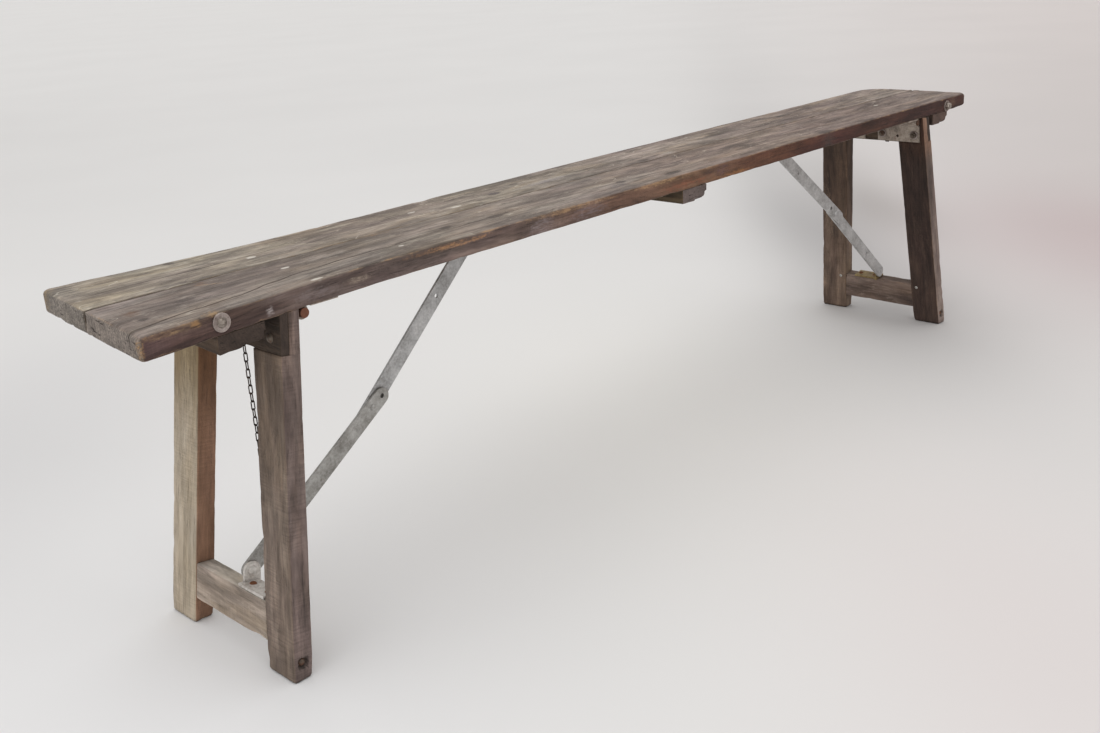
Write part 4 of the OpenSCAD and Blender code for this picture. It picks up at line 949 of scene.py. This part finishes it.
rod_dark = metal("hinge_rod_dull", C(84, 62, 50), C(58, 42, 34), C(116, 92, 76), 14, rust=0.5, rust_col=(0.12, 0.055, 0.03, 1), rough=0.8, metallic=0.3, edge=0.2)
nut = metal("aged_nut", C(146, 136, 127), C(84, 74, 66), C(200, 190, 180), 15, rust=0.2, rough=0.42, metallic=0.55, edge=0.9, dirt_and_shade=1.0)
bolt = metal("aged_bolt", C(96, 86, 76), C(66, 56, 48), C(128, 118, 106), 7, rust=0.45, rough=0.6, metallic=0.5, edge=0.4, dirt_and_shade=0.8)
wash = metal("aged_washer", C(148, 136, 130), C(106, 94, 88), C(182, 170, 164), 8, rust=0.3, rough=0.55, metallic=0.45, edge=0.6, dirt_and_shade=1.0)
rusty = metal("rusty_screw", C(110, 74, 50), C(74, 46, 32), C(146, 104, 74), 9, rust=0.7, rust_col=(0.22, 0.08, 0.035, 1), rough=0.75, metallic=0.3, edge=0.3)
iron = metal("dark_iron", C(52, 42, 36), C(34, 27, 23), C(80, 66, 56), 10, rust=0.4, rust_col=(0.09, 0.04, 0.022, 1), rough=0.7, metallic=0.4, edge=0.3)
bright = metal("bright_screw", C(186, 184, 178), C(150, 147, 140), C(206, 204, 200), 11, rust=0.1, rough=0.45, metallic=0.6, edge=0.3)

FINISH = {
    "near_upper_stay": galv, "far_upper_stay": galv_far, "near_lower_stay": galv_low, "far_lower_stay": galv_far,
    "near_upper_elbow_rivet": galv_low, "near_lower_elbow_rivet": galv_low, "far_upper_elbow_rivet": galv, "far_lower_elbow_rivet": galv,
    "near_seat_bracket": galv, "far_seat_bracket": galv, "seat_pivot_rivets": galv_low, "seat_bracket_screws": bolt,
    "near_rail_bracket": zinc, "near_rail_pivot_rivet": zinc, "far_rail_bracket": brass, "far_rail_pivot_rivet": galv,
    "near_rail_bracket_screws": rusty, "far_rail_bracket_screws": rusty,
    "near_seat_hinge_leaves": plate, "far_seat_hinge_leaves": plate, "near_leg_hinge_leaves": plate, "far_leg_hinge_leaves": plate,
    "seat_leaf_screws": bolt, "near_hinge_rod": rodm, "far_hinge_rod": rod_dark,
    "near_hinge_bolts": bolt, "far_hinge_bolts": bolt, "near_hinge_nuts": bolt, "far_hinge_nuts": bolt,
    "near_hinge_washers": wash, "far_hinge_washers": wash, "near_foot_bolts": bolt, "far_foot_bolts": rusty,
    "near_tenon_screws": bright, "far_tenon_screws": bright,
    "tie_bolts": nut, "tie_bolt_washers": wash, "tie_bolt_nuts": nut, "cleat_screws": rusty,
    "chain_staple": iron, "far_rail_staple": iron, "chain_upper_links": iron, "chain_lower_links": iron, "lock_pin": iron,
}
for key, mt in FINISH.items():
    ob = NODES[key]
    if len(ob.data.materials) == 0:
        ob.data.materials.append(mt)
    for s in ob.material_slots:
        s.link = "OBJECT"
        s.material = mt

# ------------------------------------------------------------------ camera
yaw, pitch, roll = math.radians(45.718), math.radians(-19.866), math.radians(-3.370)
f = Vector((math.sin(yaw) * math.cos(pitch), math.cos(yaw) * math.cos(pitch), math.sin(pitch)))
r = Vector((math.cos(yaw), -math.sin(yaw), 0))
u = r.cross(f)
right = r * math.cos(roll) + u * math.sin(roll)
up = -r * math.sin(roll) + u * math.cos(roll)
cam_data = bpy.data.cameras.new("camera")
cam_data.sensor_width = 36.0
cam_data.lens = 39.086
cam_data.clip_start, cam_data.clip_end = 0.05, 60
cam = bpy.data.objects.new("camera", cam_data)
bpy.context.scene.collection.objects.link(cam)
cam.matrix_world = Matrix(((right.x, up.x, -f.x, -1.58370), (right.y, up.y, -f.y, -1.30331), (right.z, up.z, -f.z, 0.87981), (0, 0, 0, 1)))
bpy.context.scene.camera = cam

# ------------------------------------------------------------------ one flat pale floor, much larger than the picture
fwd = Vector((math.sin(yaw), math.cos(yaw), 0))
side_v = Vector((fwd.y, -fwd.x, 0))
steps = [-45, -20, -8, -3, 3, 8, 20, 45]
verts = [(x, y, 0.0) for y in steps for x in steps]
faces = [(j * 8 + i, j * 8 + i + 1, j * 8 + i + 9, j * 8 + i + 8) for j in range(7) for i in range(7)]
me = bpy.data.meshes.new("paper_floor")
me.from_pydata(verts, [], faces)
me.update()
sweep = bpy.data.objects.new("paper_floor", me)
bpy.context.scene.collection.objects.link(sweep)
sm_ = bpy.data.materials.new("paper_floor")
sm_.use_nodes = True
sm_.node_tree.nodes.clear()
g = Net(sm_.node_tree)
tc = g.new("ShaderNodeTexCoord").outputs["Object"]
sx = g.new("ShaderNodeSeparateXYZ")
g.put(sx.inputs[0], tc)
# painted light and shade on the floor: a little darker and warmer towards the right, with broad soft patches
t = g.math("ADD", g.math("MULTIPLY", sx.outputs[0], side_v.x), g.math("MULTIPLY", sx.outputs[1], side_v.y))
t = g.math("ADD", t, side_v.x * 1.0 + side_v.y * 0.8)
d = g.math("ADD", g.math("MULTIPLY", sx.outputs[0], fwd.x), g.math("MULTIPLY", sx.outputs[1], fwd.y))
d = g.math("ADD", d, fwd.x * 1.0 + fwd.y * 0.8)
# the far floor is squeezed together so its soft patches stay broad towards the horizon
far_d = g.math("ADD", d, 0.77)
inv = g.math("DIVIDE", 1.0, g.math("MAXIMUM", far_d, 0.2))
curve = []
for i in range(8):
    a = math.radians(63.2) * i / 7
    curve.append((max(0.0, (0.88 - 1.6 * (1 - math.cos(a))) / (0.88 * (3.87 + 1.6 * math.sin(a))) / 0.2584), math.sin(a) / 0.9))
curve = [(u_, (v_, v_, v_, 1.0)) for u_, v_ in reversed(curve)]
near_u = g.math("MINIMUM", g.math("DIVIDE", inv, 0.2584), 1.0)
bend = g.math("MULTIPLY", g.ramp(near_u, curve), 0.9 * 1.6)
eff = g.math("ADD", g.math("MINIMUM", far_d, 3.87), bend)
t = g.math("MULTIPLY", t, g.math("DIVIDE", eff, far_d))
d = g.math("SUBTRACT", eff, 0.77)
col = g.mix(g.span(t, 0.1, 2.5), lin(226, 225, 224), lin(216, 209, 207))
# painted light: the far floor is made up to 1.27 times brighter, the near floor a little darker
FAR_PAINTED_LIGHT = [(0.0, 1.27), (0.20, 1.262), (0.33, 1.245), (0.43, 1.21), (0.53, 1.145), (0.64, 1.08), (0.75, 1.02), (0.86, 0.985), (1.0, 0.96)]
gain = g.ramp(near_u, [(u_, (v_ / 2, v_ / 2, v_ / 2, 1.0)) for u_, v_ in FAR_PAINTED_LIGHT])
col = g.mix(1.0, col, g.mix(1.0, gain, (2, 2, 2, 1), "MULTIPLY"), "MULTIPLY")
nz = g.noise(g.stretch(tc, (1.2, 1.2, 1.2)), 2)
col = g.mix(1.0, col, g.grey(g.span(nz, 0.2, 0.8, 0.985, 1.01)), "MULTIPLY")
# soft patches of painted shadow (behind the far leg, to the right and to the left) and painted light (under the bench
# and at the near left)
for cd, ct, wd_, wt, mul in ((2.65, 0.78, 1.0, 0.20, (.64, .64, .645)), (3.05, 1.03, 0.5, 0.15, (.73, .72, .71)),
                             (2.45, 1.50, 0.8, 0.50, (.86, .78, .79)), (0.50, 0.55, 0.6, 0.30, (.98, .94, .94)),
                             (1.30, -1.15, 0.9, 0.45, (.88, .88, .89)), (1.45, 0.15, 0.7, 0.40, (1.08, 1.075, 1.055)),
                             (0.40, -0.50, 0.7, 0.45, (1.12, 1.13, 1.15))):
    dd = g.math("DIVIDE", g.math("SUBTRACT", d, cd), wd_)
    dt_ = g.math("DIVIDE", g.math("SUBTRACT", t, ct), wt)
    e = g.math("MULTIPLY", g.math("ADD", g.math("MULTIPLY", dd, dd), g.math("MULTIPLY", dt_, dt_)), -1.0)
    col = g.mix(g.math("EXPONENT", e), col, g.mix(1.0, col, (*mul, 1.0), "MULTIPLY"))
finish_mat(g, col, 0.75, None, spec=0.25)
me.materials.append(sm_)

# ------------------------------------------------------------------ soft studio light
world = bpy.data.worlds.new("studio")
bpy.context.scene.world = world
world.use_nodes = True
bg = world.node_tree.nodes["Background"]
bg.inputs[0].default_value = (1.0, 0.99, 0.98, 1)
bg.inputs[1].default_value = 0.76


def softbox(name, at, look, size, power, colour=(1, 1, 1)):
    ld = bpy.data.lights.new(name, "AREA")
    ld.shape = "RECTANGLE"
    ld.size, ld.size_y = size
    ld.energy = power
    ld.color = colour
    ob = bpy.data.objects.new(name, ld)
    bpy.context.scene.collection.objects.link(ob)
    ob.location = at
    ob.rotation_mode = "QUATERNION"
    ob.rotation_quaternion = (Vector(look) - Vector(at)).to_track_quat("-Z", "Y")
    return ob


softbox("overhead", (-0.4, 0.6, 3.4), (0.1, 0.3, 0), (5.5, 4.0), 50)
softbox("left", (-3.8, 0.2, 1.9), (-0.5, 0, 0.3), (2.6, 2.6), 7, (1.0, 0.99, 0.97))
softbox("front", (-0.2, -3.6, 2.0), (0, 0, 0.3), (4.5, 2.4), 15, (1.0, 0.98, 0.97))
